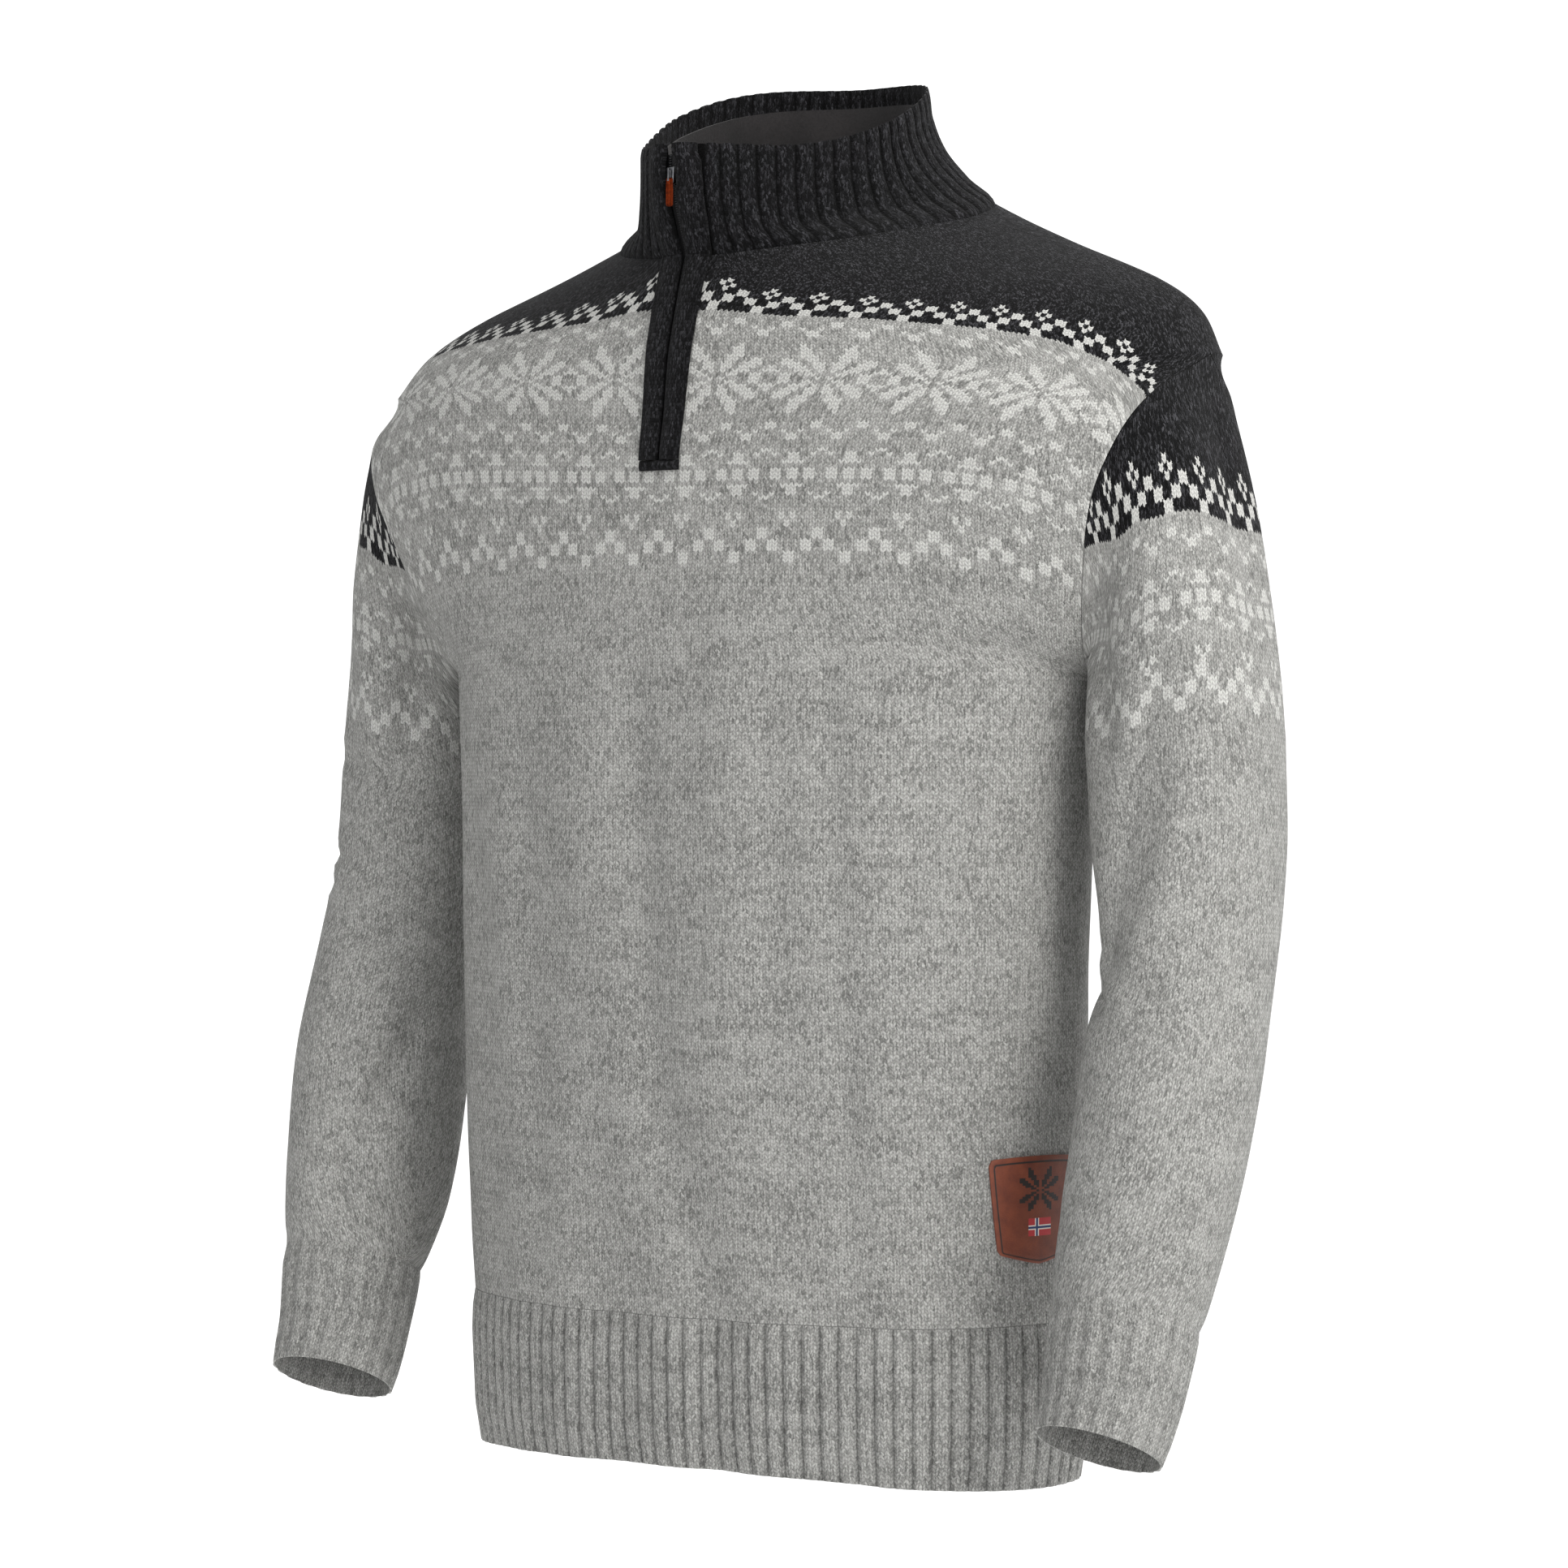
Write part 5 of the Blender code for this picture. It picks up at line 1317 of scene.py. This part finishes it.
def chartLookup(course, wale, chart):  # how white and how charcoal the stitch there is
    tree = course.id_data
    first, rows = chart
    masks = None
    for start in range(0, len(rows), rampRows):
        block = rows[start:start + rampRows]
        place = maths("SUBTRACT", course, float(first + start) - 1.5)
        place = maths("DIVIDE", place, rampSize, clamp=True)
        ramp = addNode(tree, "ShaderNodeValToRGB", {0: place})
        stops = ramp.node.color_ramp
        stops.interpolation = "CONSTANT"
        stops.elements[0].color = stops.elements[1].color = (0.0, 0.0, 0.0, 1.0)
        stops.elements[1].position = (len(block) + 0.5) / (rampSize - 1.0)
        for index, row in enumerate(block, 1):  # a row's marks are the bits of a number
            white, dark = (sum(1 << k for k, mark in enumerate(row) if mark == yarn) for yarn in "o#")
            stop = stops.elements.new((index - 0.5) / (rampSize - 1.0))
            stop.color = (float(white), float(dark), float(len(row)), 1.0)
        masks = ramp if masks is None else vectorMaths("ADD", masks, ramp)
    white = addNode(tree, "ShaderNodeSeparateXYZ", {0: masks})
    dark, repeat = white.node.outputs[1], white.node.outputs[2]
    repeat = maths("MAXIMUM", repeat, 1.0)
    column = maths("FLOORED_MODULO", wale, repeat)
    weight = maths("POWER", 2.0, column)
    found = []
    for mask in (white, dark):
        bit = maths("DIVIDE", mask, weight)
        bit = maths("FLOOR", maths("ADD", bit, 0.002))
        found.append(maths("FLOORED_MODULO", bit, 2.0))
    above = maths("LESS_THAN", course, float(first) - 0.5)
    return found[0], maths("MAXIMUM", found[1], above)


def knitMaterial(name, ground, chart=None, grooveShading=None, slant=1.5):
    # wool-blend stockinette: legs of yarn in columns of V, soft matt fibres, mixed greys in each strand
    material, tree = newMaterial(name, 0.93, sheen=0.03, gloss=0.08)
    uv = addNode(tree, "ShaderNodeUVMap", uv_map="knit")
    fuzz = grain(uv, 1.7, 2.0, dimensions="2D", out=1)
    shift = vectorMaths("SUBTRACT", fuzz, (0.5, 0.5, 0.5))
    place = vectorMaths("MULTIPLY_ADD", shift, (0.55, 0.75, 0.0), uv)
    u = addNode(tree, "ShaderNodeSeparateXYZ", {0: place})
    v = u.node.outputs[1]
    wale = maths("FLOOR", u)
    side = maths("SUBTRACT", maths("FRACT", u), 0.5)
    leg = maths("GREATER_THAN", side, 0.0)
    side = maths("ABSOLUTE", side)
    slanted = maths("MULTIPLY_ADD", side, slant, v)
    course = maths("FLOOR", slanted)
    across = maths("MULTIPLY", maths("FRACT", slanted), math.pi)
    across = maths("SINE", across)
    side = maths("ABSOLUTE", maths("MULTIPLY_ADD", side, 4.0, -1.0))
    side = maths("MULTIPLY_ADD", maths("POWER", side, 3.0), -0.7, 1.0)
    across = maths("MULTIPLY_ADD", across, 0.7, 0.3)
    height = maths("MULTIPLY", across, side)
    strand = maths("MULTIPLY", course, 3.37)
    strand = maths("MULTIPLY_ADD", leg, 1.63, strand)
    strand = addNode(tree, "ShaderNodeCombineXYZ", {0: u, 1: strand})
    blend = grain(strand, 2.3, 2.0, 0.6, "2D")
    fibre = grain(uv, 7.0, 3.0, 0.7, "2D")
    cloud = vectorMaths("MULTIPLY", uv, (0.07, 0.14, 0.0))  # batches of yarn
    cloud = grain(cloud, 1.0, 3.0, 0.65, "2D")
    lightMix = ranged(maths("MULTIPLY_ADD", cloud, 0.24, blend), 0.42, 0.74)
    marl = mixed(lightMix, "marlDark", "marlLight")
    fleck, span = ("plainFleck", (0.50, 0.70)) if chart else ("charcoalFleck", (0.47, 0.74))
    charcoal = mixed(ranged(blend, *span), "charcoalDark", fleck)
    colour = charcoal if ground == "charcoal" else marl
    if chart:
        white, dark = chartLookup(course, wale, chart)
        pale = mixed(fibre, "whiteShade", "white")
        colour = mixed(dark, colour, charcoal)
        white = maths("MULTIPLY", white, 0.88)  # the ground shows a little between legs
        colour = mixed(white, colour, pale)
    # painted shade: the colour is darker where the stitch's height is low, in the hollows between the
    # legs of yarn and between courses; the fibre grain adds random tone
    shade = maths("MULTIPLY_ADD", height, 0.66, 0.50)
    fluff = maths("MULTIPLY_ADD", fibre, 0.30, 0.85)
    shade = maths("MULTIPLY", shade, fluff)
    if grooveShading:  # painted shade in the ribs' grooves: how much lighter a rib's crest is than its groove, and the groove's share of the light
        paintedGrooveShade = addNode(tree, "ShaderNodeAttribute", out=2, attribute_name="relief")
        paintedGrooveShade = maths("MULTIPLY_ADD", paintedGrooveShade, *grooveShading, clamp=True)
        shade = maths("MULTIPLY", shade, paintedGrooveShade)
    colour = addNode(tree, "ShaderNodeVectorMath", {0: colour, "Scale": shade}, operation="SCALE")
    rise = maths("MULTIPLY_ADD", fibre, 0.35, height)
    return finished(material, colour, rise, 0.55, 0.0007)


def fleeceMaterial():  # brushed polyester fleece: a short dense nap, a little lighter where it stands up, which is a painted highlight on the raised nap, in slow patches
    material, tree = newMaterial("brushedFleece", 0.97, sheen=0.12)
    place = addNode(tree, "ShaderNodeTexCoord", out=3)
    nap = grain(place, 620.0, 4.0, 0.75)
    drift = grain(place, 38.0, 2.0)
    # painted highlight: the colour follows the nap's relief, gated by a slow drift
    napHighlight = ranged(maths("MULTIPLY", nap, drift), 0.16, 0.36)
    return finished(material, mixed(napHighlight, "fleece", "fleeceNapHighlight"), nap, 0.5, 0.0006)


def leatherMaterial():
    # waxed split leather: fine pores, darker rubbed areas, an inked line near its edge
    material, tree = newMaterial("waxedLeather", 0.62)
    place = addNode(tree, "ShaderNodeTexCoord", out=3)
    pores = addNode(tree, "ShaderNodeTexVoronoi", {"Vector": place, "Scale": 1100.0, "Randomness": 1.0})
    wear = ranged(grain(place, 140.0, 5.0, 0.6), 0.20, 0.70)
    colour = mixed(wear, "leatherDark", "leather")
    # on the patch the relief attribute holds millimetres from the edge, and the map
    # millimetres from the middle
    inset = addNode(tree, "ShaderNodeAttribute", out=2, attribute_name="relief")
    line = maths("ABSOLUTE", maths("SUBTRACT", inset, patchLook["lineInset"]))
    line = ranged(line, 0.25, 0.55, 1.0, 0.0)
    colour = mixed(line, colour, "edgeInk")
    uv = addNode(tree, "ShaderNodeUVMap", uv_map="knit")
    x = addNode(tree, "ShaderNodeSeparateXYZ", {0: uv})
    y = x.node.outputs[1]
    # an eight-pointed star pressed in over the flag, from the same chart as the yoke's
    wide, tall, starColumns = patchLook["starWide"], patchLook["starTall"], 15
    rows = [row[:starColumns] + "." * 9 for row in starRows]
    down = maths("MULTIPLY_ADD", y, -1.0 / tall, patchLook["starUp"] / tall + len(starRows) / 2.0)
    along = maths("MULTIPLY_ADD", x, 1.0 / wide, starColumns / 2.0)
    lane = maths("FLOOR", along)
    star, _ = chartLookup(maths("FLOOR", down), lane, (0, rows))
    near = maths("LESS_THAN", maths("ABSOLUTE", x), starColumns / 2.0 * wide)
    colour = mixed(maths("MULTIPLY", star, near), colour, "edgeInk")
    # a small woven-look flag: red, with a white and a blue cross
    flagWide, flagTall = patchLook["flagWidth"], patchLook["flagHeight"]
    x = maths("SUBTRACT", x, patchLook["flagAcross"])
    y = maths("SUBTRACT", y, patchLook["flagUp"])
    awayX = maths("ABSOLUTE", x)
    awayY = maths("ABSOLUTE", y)
    inX = maths("LESS_THAN", awayX, flagWide / 2.0)
    inY = maths("LESS_THAN", awayY, flagTall / 2.0)
    flag = maths("MULTIPLY", inX, inY)
    colour = mixed(flag, colour, "flagRed")
    barX = maths("ABSOLUTE", maths("ADD", x, flagWide * 0.136))
    bar = maths("MINIMUM", barX, awayY)
    for share, yarn in ((0.125, "flagWhite"), (0.0625, "flagBlue")):
        cross = maths("MULTIPLY", maths("LESS_THAN", bar, flagTall * share), flag)
        colour = mixed(cross, colour, yarn)
    rise = maths("MULTIPLY_ADD", line, -0.8, pores)
    return finished(material, colour, rise, 0.4, 0.0003)


def speckMaterial(name, dark, light, scale, roughness, rise=0.0002, **settings):
    # small parts: two close tones of one finish in a fine grain, with the grain standing a little proud
    material, tree = newMaterial(name, roughness, **settings)
    specks = grain(addNode(tree, "ShaderNodeTexCoord", out=3), scale, 4.0, 0.65)
    colour = mixed(ranged(specks, 0.35, 0.65), dark, light)
    return finished(material, colour, specks, 0.4, rise)


patchLook = {
    "columns": 34, "rows": 44, "cornerRound": 0.05, "headCurve": 0.02, "footPoint": 0.125,
    "footWidth": 0.80,  # the foot's share of the width
    "widerBy": 5.5,  # columns of the panel's mesh that it is wider by
    "thick": 0.0018, "edgeThick": 0.72, "edgeRound": 1.2, "lineInset": 2.3, "lineDepth": 0.0003,
    # millimetres on the patch, from its middle
    "flagWidth": 15.0, "flagHeight": 10.6, "flagAcross": 0.0, "flagUp": -5.0,
    "starWide": 1.75, "starTall": 1.05, "starUp": 14.5,
}
look = {
    "body": knitMaterial("marlKnitBody", "marl", bodyChart),
    "sleeve": knitMaterial("marlKnitSleeve", "marl", sleeveChart),
    "cuffRib": knitMaterial("marlKnitCuffRib", "marl", grooveShading=(0.13, 0.87)),
    "hemRib": knitMaterial("marlKnitHemRib", "marl", grooveShading=(0.50, 0.50)),
    "collar": knitMaterial("charcoalKnitRib", "charcoal", grooveShading=(0.98, 0.04)),
    "band": knitMaterial("charcoalKnitBand", "charcoal", grooveShading=(0.55, 0.45), slant=0.7),
    "fleece": fleeceMaterial(),
    "leather": leatherMaterial(),
    "seam": speckMaterial("linkingYarn", "marlDark", "marlLight", 900.0, 0.95, sheen=0.2),
    "darkSeam": speckMaterial("charcoalLinkingYarn", "charcoalDark", "seamDark", 900.0, 1.0),
    "tape": speckMaterial("wovenPolyesterTape", "tape", "charcoalDark", 1500.0, 0.85, sheen=0.1),
    "teeth": speckMaterial("nylonCoil", "tape", "teeth", 800.0, 0.45),
    "metal": speckMaterial("satinNickel", "metal", "metalWorn", 500.0, 0.32, rise=0.00002, metallic=1.0),
    "rust": speckMaterial("dyedLeather", "rustDark", "rust", 600.0, 0.9, gloss=0.1),
}
print("materials are made")

# ---- pieces

ribStitches = {"narrow": 3.0, "wide": 4.0}  # stitches to a rib and its groove
seams = {  # cords of linked yarn: their radii, and the height where an armhole's charcoal cord ends
    "radius": 0.0008, "darkRadius": 0.0005, "neckRadius": 0.0007, "darkAbove": -0.205,
    "cuffDepth": 0.35,  # how far into the wall the cuff's cord lies
}


def dress(piece, material, slot, body="sweater", node=None):
    piece.data.materials.append(look[material])
    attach(piece, body)
    if node:
        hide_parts(node)
    return piece


def clothPiece(name, node, material, slot, *grids, **wall):
    return dress(clothWall(name, *grids, **wall), material, slot, node=node)


def middleLine(outer, inner):
    return [(a + b) / 2.0 for a, b in zip(outer, inner)]


body = bodyGrids()
front, frontInner, frontNormals = body["front"]
back, backInner, _ = body["back"]
half = len(front[0]) // 2
boundary = boundaryLength(front, body["underarm"])
frontMap = [[wornFront(u, v) for u, v in line] for line in bodyUv(front, body["underarm"], boundary)]
backMap = [[wornBack(u, v) for u, v in line] for line in bodyUv(back, body["underarm"], boundary)]
slit = {(r, half - 1) for r in range(slitFootRow(), len(front) - 1)}
frontPiece = clothPiece("frontPanel", "front", "body", "marl_knit", front, frontInner, frontMap, cut=slit)
backPiece = clothPiece("backPanel", "back", "body", "marl_knit", back, backInner, backMap)

for side, panel in (("front", frontPiece), ("back", backPiece)):
    hem, hemInner, relief = hemGrid(*body[side][:2])
    hemMap = ribUv(hem, narrowRib, ribStitches["narrow"])
    name, node = "hemRib" + side.title(), "hem_rib_" + side
    piece = clothPiece(name, node, "hemRib", "marl_knit", hem, hemInner, hemMap, relief)

armhole, cuffSeam = {}, {}
for side, folds in (("left", leftSleeveFolds), ("right", rightSleeveFolds)):
    sleeve, sleeveInner, loop = sleeveGrid(body, folds)
    cuff, cuffInner, relief = cuffGrid(sleeve, sleeveInner)
    sleeveMap, cuffMap = sleeveUv(sleeve), ribUv(cuff, wideRib, ribStitches["wide"], closed=True)
    armhole[side] = [(a + b) / 2.0 for a, b in loop]
    if side == "right":
        grids = (sleeve, sleeveInner, cuff, cuffInner)
        sleeve, sleeveInner, cuff, cuffInner = (mirrored(grid) for grid in grids)
        armhole[side] = [flipped(p) for p in armhole[side]]
    cuffSeam[side] = [a.lerp(b, seams["cuffDepth"]) for a, b in zip(sleeve[-1], sleeveInner[-1])]
    name, node = side + "Sleeve", "sleeve_" + side
    sleevePiece = clothPiece(
        name, node, "sleeve", "marl_knit", sleeve, sleeveInner, sleeveMap, closed=True
    )
    name, node = side + "Cuff", "cuff_" + side
    cuffPiece = clothPiece(
        name, node, "cuffRib", "marl_knit", cuff, cuffInner, cuffMap, relief, closed=True
    )

collar = collarGrids(body)
collarMap = ribUv(collar[0], narrowRib, ribStitches["narrow"], False)
collarPiece = clothPiece(
    "standCollar", "collar", "collar", "charcoal_knit", collar[0], collar[1], collarMap, collar[4]
)
lining, liningInner = liningGrids(collar[1], collar[5])
liningMap = plainUv(lining, 0.003, 0.003)
liningPiece = clothPiece(
    "collarFleece", "collar_lining", "fleece", "collar_fleece", liningInner, lining, liningMap
)

for side, sign in (("left", 1), ("right", -1)):
    band, ground, relief = bandGrids(groundRows(body, collar, sign))
    bandMap = plainUv(band, knit["bandStitch"], knit["bandCourse"])
    if sign < 0:
        band, ground = mirrored(band), mirrored(ground)
    name, node = side + "Band", "placket_" + side
    piece = clothPiece(name, node, "band", "charcoal_knit", band, ground, bandMap, relief)

tape, tapeInner = tapeGrids(body, collar)
clothPiece("zipTape", "zip_tape", "tape", "zip_tape", tape, tapeInner, plainUv(tape, 0.001, 0.001))


def footGrids():  # the bar that closes the bands' foot
    downSteps, acrossSteps = footSteps
    row = slitFootRow()
    normal = (frontNormals[row][half] + frontNormals[row][half - 1]).normalized()
    down = (front[row - fine][half] - front[row][half]).normalized()
    reach = sum(bandRow(front[row][half].z))
    top = Vector((0.0, front[row][half].y, front[row][half].z)) + down * seamGap
    columns = range(acrossSteps + 1)
    ends = [min(1.0, 1.6 * min(k, acrossSteps - k) / 3.0 + 0.45) for k in columns]
    outer, inner, relief = [], [], []
    for step in range(downSteps + 1):
        share = step / downSteps
        rise = math.sin(math.pi * (0.06 + 0.88 * share)) ** 0.5
        start = top + down * footDrop * share + normal * seamGap
        line = [start + Vector((reach * (2.0 * k / acrossSteps - 1.0), 0, 0)) for k in columns]
        inner.append(line)
        outer.append([p + normal * footThick * rise * end for p, end in zip(line, ends)])
        # painted shade: this relief darkens the bar's colour towards its top and foot edges
        relief.append([rise] * len(columns))
    return outer, inner, relief


foot, footInner, relief = footGrids()
footMap = plainUv(foot, knit["bandStitch"], knit["bandCourse"])
clothPiece("placketFoot", "placket_foot", "band", "charcoal_knit", foot, footInner, footMap, relief)


def patchPiece():  # a shield of leather on the front panel's own surface
    columns, rows = patchLook["columns"], patchLook["rows"]
    below, above = fine * patchRows[0], fine * patchRows[1]
    firstColumn = half + groundFine + acrossFine * (patchColumns[0] - 2)
    lastColumn = half + groundFine + acrossFine * (patchColumns[1] - 2) + patchLook["widerBy"]

    def onPanel(grid, share, height):
        r = below + (above - below) * height
        c = firstColumn + (lastColumn - firstColumn) * share
        r0, c0 = min(int(r), len(grid) - 2), min(int(c), len(grid[0]) - 2)
        low = grid[r0][c0].lerp(grid[r0][c0 + 1], c - c0)
        return low.lerp(grid[r0 + 1][c0].lerp(grid[r0 + 1][c0 + 1], c - c0), r - r0)

    width = (onPanel(front, 1.0, 0.5) - onPanel(front, 0.0, 0.5)).length
    tall = (onPanel(front, 0.5, 1.0) - onPanel(front, 0.5, 0.0)).length
    outer, inner, uv, relief = [], [], [], []
    corner, narrow, thick = patchLook["cornerRound"], patchLook["footWidth"], patchLook["edgeThick"]
    for r in range(rows + 1):
        lines = ([], [], [], [])
        for c in range(columns + 1):
            away = abs(2.0 * c / columns - 1.0)
            bend = max(0.0, (away - 1.0 + 2.0 * corner) / (2.0 * corner))
            rounding = corner * (1.0 - math.sqrt(max(0.0, 1.0 - bend ** 2)))
            foot = patchLook["footPoint"] * away ** 1.25 + rounding
            head = 1.0 - patchLook["headCurve"] * away ** 2 - rounding * 0.8
            height = foot + (head - foot) * r / rows
            taper = narrow + (1.0 - narrow) * height
            share = 0.5 + (c / columns - 0.5) * taper
            point = onPanel(front, share, height)
            normal = onPanel(frontNormals, share, height).normalized()
            side = (1.0 - away) / 2.0 * width * taper
            edge = min(side, (height - foot) * tall, (head - height) * tall) * 1000.0  # in millimetres
            rounded = smoothStep(edge / patchLook["edgeRound"])
            puff = patchLook["thick"] * (thick + (1.0 - thick) * rounded)
            puff -= patchLook["lineDepth"] * math.exp(-((edge - patchLook["lineInset"]) / 0.5) ** 2)
            lines[0].append(point + normal * (seamGap + puff))
            lines[1].append(point + normal * seamGap)
            lines[2].append(((share - 0.5) * width * 1000.0, (height - 0.5) * tall * 1000.0))
            lines[3].append(edge)
        for grid, line in zip((outer, inner, uv, relief), lines):
            grid.append(line)
    print("patch:", round(width * 1000, 1), "by", round(tall * 1000, 1), "mm")
    return clothWall("leatherPatch", outer, inner, uv, relief)


dress(patchPiece(), "leather", "patch_leather", node="patch")

# ---- seams, zip teeth, slider and pull tab

def onlySelected(piece):
    bpy.ops.object.select_all(action="DESELECT")
    piece.select_set(True)
    bpy.context.view_layer.objects.active = piece


def seamCord(name, path, radius="radius", cyclic=False):  # a linked seam's ridge of yarn
    curve = bpy.data.curves.new(name, "CURVE")
    curve.dimensions = "3D"
    curve.bevel_depth = seams[radius]
    curve.bevel_resolution = 2
    line = curve.splines.new("POLY")
    line.points.add(len(path) - 1)
    for spot, point in zip(line.points, path):
        spot.co = (*point, 1.0)
    line.use_cyclic_u = cyclic
    cord = bpy.data.objects.new(name, curve)
    bpy.context.scene.collection.objects.link(cord)
    onlySelected(cord)
    bpy.ops.object.convert(target="MESH")
    cord = bpy.context.object
    cord.data.materials.clear()
    cord.data.shade_smooth()
    yarn = ("seam", "marl_knit") if radius == "radius" else ("darkSeam", "charcoal_knit")
    return dress(cord, *yarn)


for side, path in armhole.items():
    top = [k for k, p in enumerate(path) if p.z > seams["darkAbove"]]
    first = next(k for k in top if (k - 1) % len(path) not in top)
    path = path[first:] + path[:first + 1]
    seamCord(side + "ArmholeSeamTop", path[:len(top)], "darkRadius")
    seamCord(side + "ArmholeSeamFoot", path[len(top) - 1:])
    seamCord(side + "CuffSeam", cuffSeam[side], cyclic=True)
    edge = -1 if side == "left" else 0
    walls = zip(front, frontInner, back, backInner)
    middle = [(a[edge] + b[edge] + c[edge] + d[edge]) / 4.0 for a, b, c, d in walls]
    seamCord(side + "SideSeam", middle[:body["underarm"] + 1])
    seamCord(side + "ShoulderSeam", middle[body["tip"]:], "darkRadius")
seamCord("neckSeam", [(a + b) / 2.0 for a, b, _ in neckChain(body)], "neckRadius")
seamCord("frontHemSeam", middleLine(front[0], frontInner[0]))
seamCord("backHemSeam", middleLine(back[0], backInner[0]))
print("seams are linked")

zipLook = {
    "toothWidth": 0.0016, "toothThick": 0.0008, "toothHeight": 0.0007, "toothBevel": 0.0002,
    "pitch": 0.0013,
    "toothOut": 0.0006, "toothAside": 0.0006,  # where a link's middle lies from the tape's ridge
    "openSplay": 0.0016, "openFrom": 0.002, "openRun": 0.006,  # how the links part above the slider
    "sliderTaper": 0.72, "sliderBevel": 0.0007, "bridgeBevel": 0.00025,
    "tabCorner": 0.0011, "tabBevel": 0.00015,
}


def bevelled(piece, width, segments=2):
    onlySelected(piece)
    modifier = piece.modifiers.new("bevel", "BEVEL")
    modifier.width = width
    modifier.segments = segments
    modifier.limit_method = "ANGLE"
    bpy.ops.object.modifier_apply(modifier=modifier.name)


def block(name, centre, size):  # a box at its size and place, its object left at the origin
    bpy.ops.object.select_all(action="DESELECT")
    bpy.ops.mesh.primitive_cube_add(size=1.0, location=centre)
    piece = bpy.context.object
    piece.name = name
    piece.scale = size
    bpy.ops.object.transform_apply(location=True, rotation=True, scale=True)
    return piece


def cutBy(piece, cutter, operation):
    onlySelected(piece)
    modifier = piece.modifiers.new("cut", "BOOLEAN")
    modifier.operation = operation
    modifier.object = cutter
    bpy.ops.object.modifier_apply(modifier=modifier.name)
    bpy.data.objects.remove(cutter, do_unlink=True)


def pick(parts, wanted):  # selects vertices or edges of the active piece and leaves it in edit mode
    bpy.ops.object.mode_set(mode="EDIT")
    bpy.ops.mesh.select_all(action="DESELECT")
    bpy.ops.object.mode_set(mode="OBJECT")
    for part in parts:
        part.select = wanted(part)
    bpy.ops.object.mode_set(mode="EDIT")


def roundedShade(piece):
    piece.data.shade_smooth()
    piece.data.set_sharp_from_angle(angle=math.radians(40))


def zipTeeth():  # one coil link, copied down both edges of the slit
    ridge = [line[tapeRidge] for line in tape]
    lengths = chainLengths(ridge)
    size = [zipLook[key] for key in ("toothWidth", "toothThick", "toothHeight")]
    link = block("link", (0, 0, 0), size)
    bevelled(link, zipLook["toothBevel"], 1)
    bm = bmesh.new()
    count = int(lengths[-1] / zipLook["pitch"])
    for index in range(count):
        for side in (-1, 1):
            share = (index + (0.5 if side > 0 else 0.0) + 0.25) / count
            place = pointOn(ridge, share)
            before, after = pointOn(ridge, max(share - 0.01, 0.0)), pointOn(ridge, min(share + 0.01, 1.0))
            ahead = (after - before).normalized()
            out = Vector((1, 0, 0)).cross(ahead).normalized()
            out = out if out.y < 0 else -out
            opened = smoothStep((place.z - zipLook["openFrom"]) / zipLook["openRun"])
            aside = side * (zipLook["toothAside"] + zipLook["openSplay"] * opened)
            place = place + out * zipLook["toothOut"] + Vector((aside, 0, 0))
            turn = Matrix((Vector((1, 0, 0)), -out, ahead)).transposed().to_4x4()
            made = len(bm.verts)
            bm.from_mesh(link.data)
            bm.verts.ensure_lookup_table()
            bmesh.ops.transform(bm, matrix=Matrix.Translation(place) @ turn, verts=bm.verts[made:])
    mesh = bpy.data.meshes.new("zipTeeth")
    bm.to_mesh(mesh)
    bm.free()
    bpy.data.objects.remove(link, do_unlink=True)
    teeth = bpy.data.objects.new("zipTeeth", mesh)
    bpy.context.scene.collection.objects.link(teeth)
    return teeth


dress(zipTeeth(), "teeth", "zip_tape")

face = sliderCentre.y - sliderSize.y / 2.0  # the slider's outer face
slot = bridgeReach - bridgeBar  # the room under the bridge's bar
slider = block("sliderBody", sliderCentre, sliderSize)
pick(slider.data.vertices, lambda vertex: vertex.co.z < sliderCentre.z)  # its closed end is narrower
bpy.ops.transform.resize(value=(zipLook["sliderTaper"], 1.0, 1.0))
bpy.ops.object.mode_set(mode="OBJECT")
bevelled(slider, zipLook["sliderBevel"], 3)
bridge = block(
    "bridge", (0.0, face - bridgeReach / 2.0 + bridgeRoot / 2.0, sliderCentre.z),
    (bridgeWidth, bridgeReach + bridgeRoot, bridgeHeight),
)
window = block(
    "window", (0.0, face - slot / 2.0, sliderCentre.z),
    (sliderSize.x, slot, bridgeHeight - 2.0 * bridgeBar),
)
cutBy(bridge, window, "DIFFERENCE")
bevelled(bridge, zipLook["bridgeBevel"])
cutBy(slider, bridge, "UNION")
roundedShade(slider)
dress(slider, "metal", "zip_metal", node="zip_slider")

bridgeFoot = sliderCentre.z - bridgeHeight / 2.0 + bridgeBar
hinge = Vector((0.0, face - slot / 2.0, bridgeFoot + seamGap + tabThick / 2.0))
down = Vector((0.0, 0.0, -1.0))
tab = block(
    "pullTab", hinge + down * (tabLength / 2.0 - tabThick / 2.0), (tabWidth, tabThick, tabLength)
)
depths = [vertex.co.y for vertex in tab.data.vertices]
pick(tab.data.edges, lambda edge: len({depths[v] for v in edge.vertices}) > 1)  # through its thickness
bpy.ops.mesh.select_mode(type="EDGE")
bpy.ops.mesh.bevel(offset=zipLook["tabCorner"], segments=4, affect="EDGES")
bpy.ops.object.mode_set(mode="OBJECT")
window = block(
    "tabWindow", hinge + down * (tabThick / 2.0 + tabWindowLength / 2.0),
    (tabWindowWidth, 4.0 * tabThick, tabWindowLength),
)
cutBy(tab, window, "DIFFERENCE")
bevelled(tab, zipLook["tabBevel"])
roundedShade(tab)
dress(tab, "rust", "pull_tab", body="zip_pull", node="zip_pull")
print("zip is made")
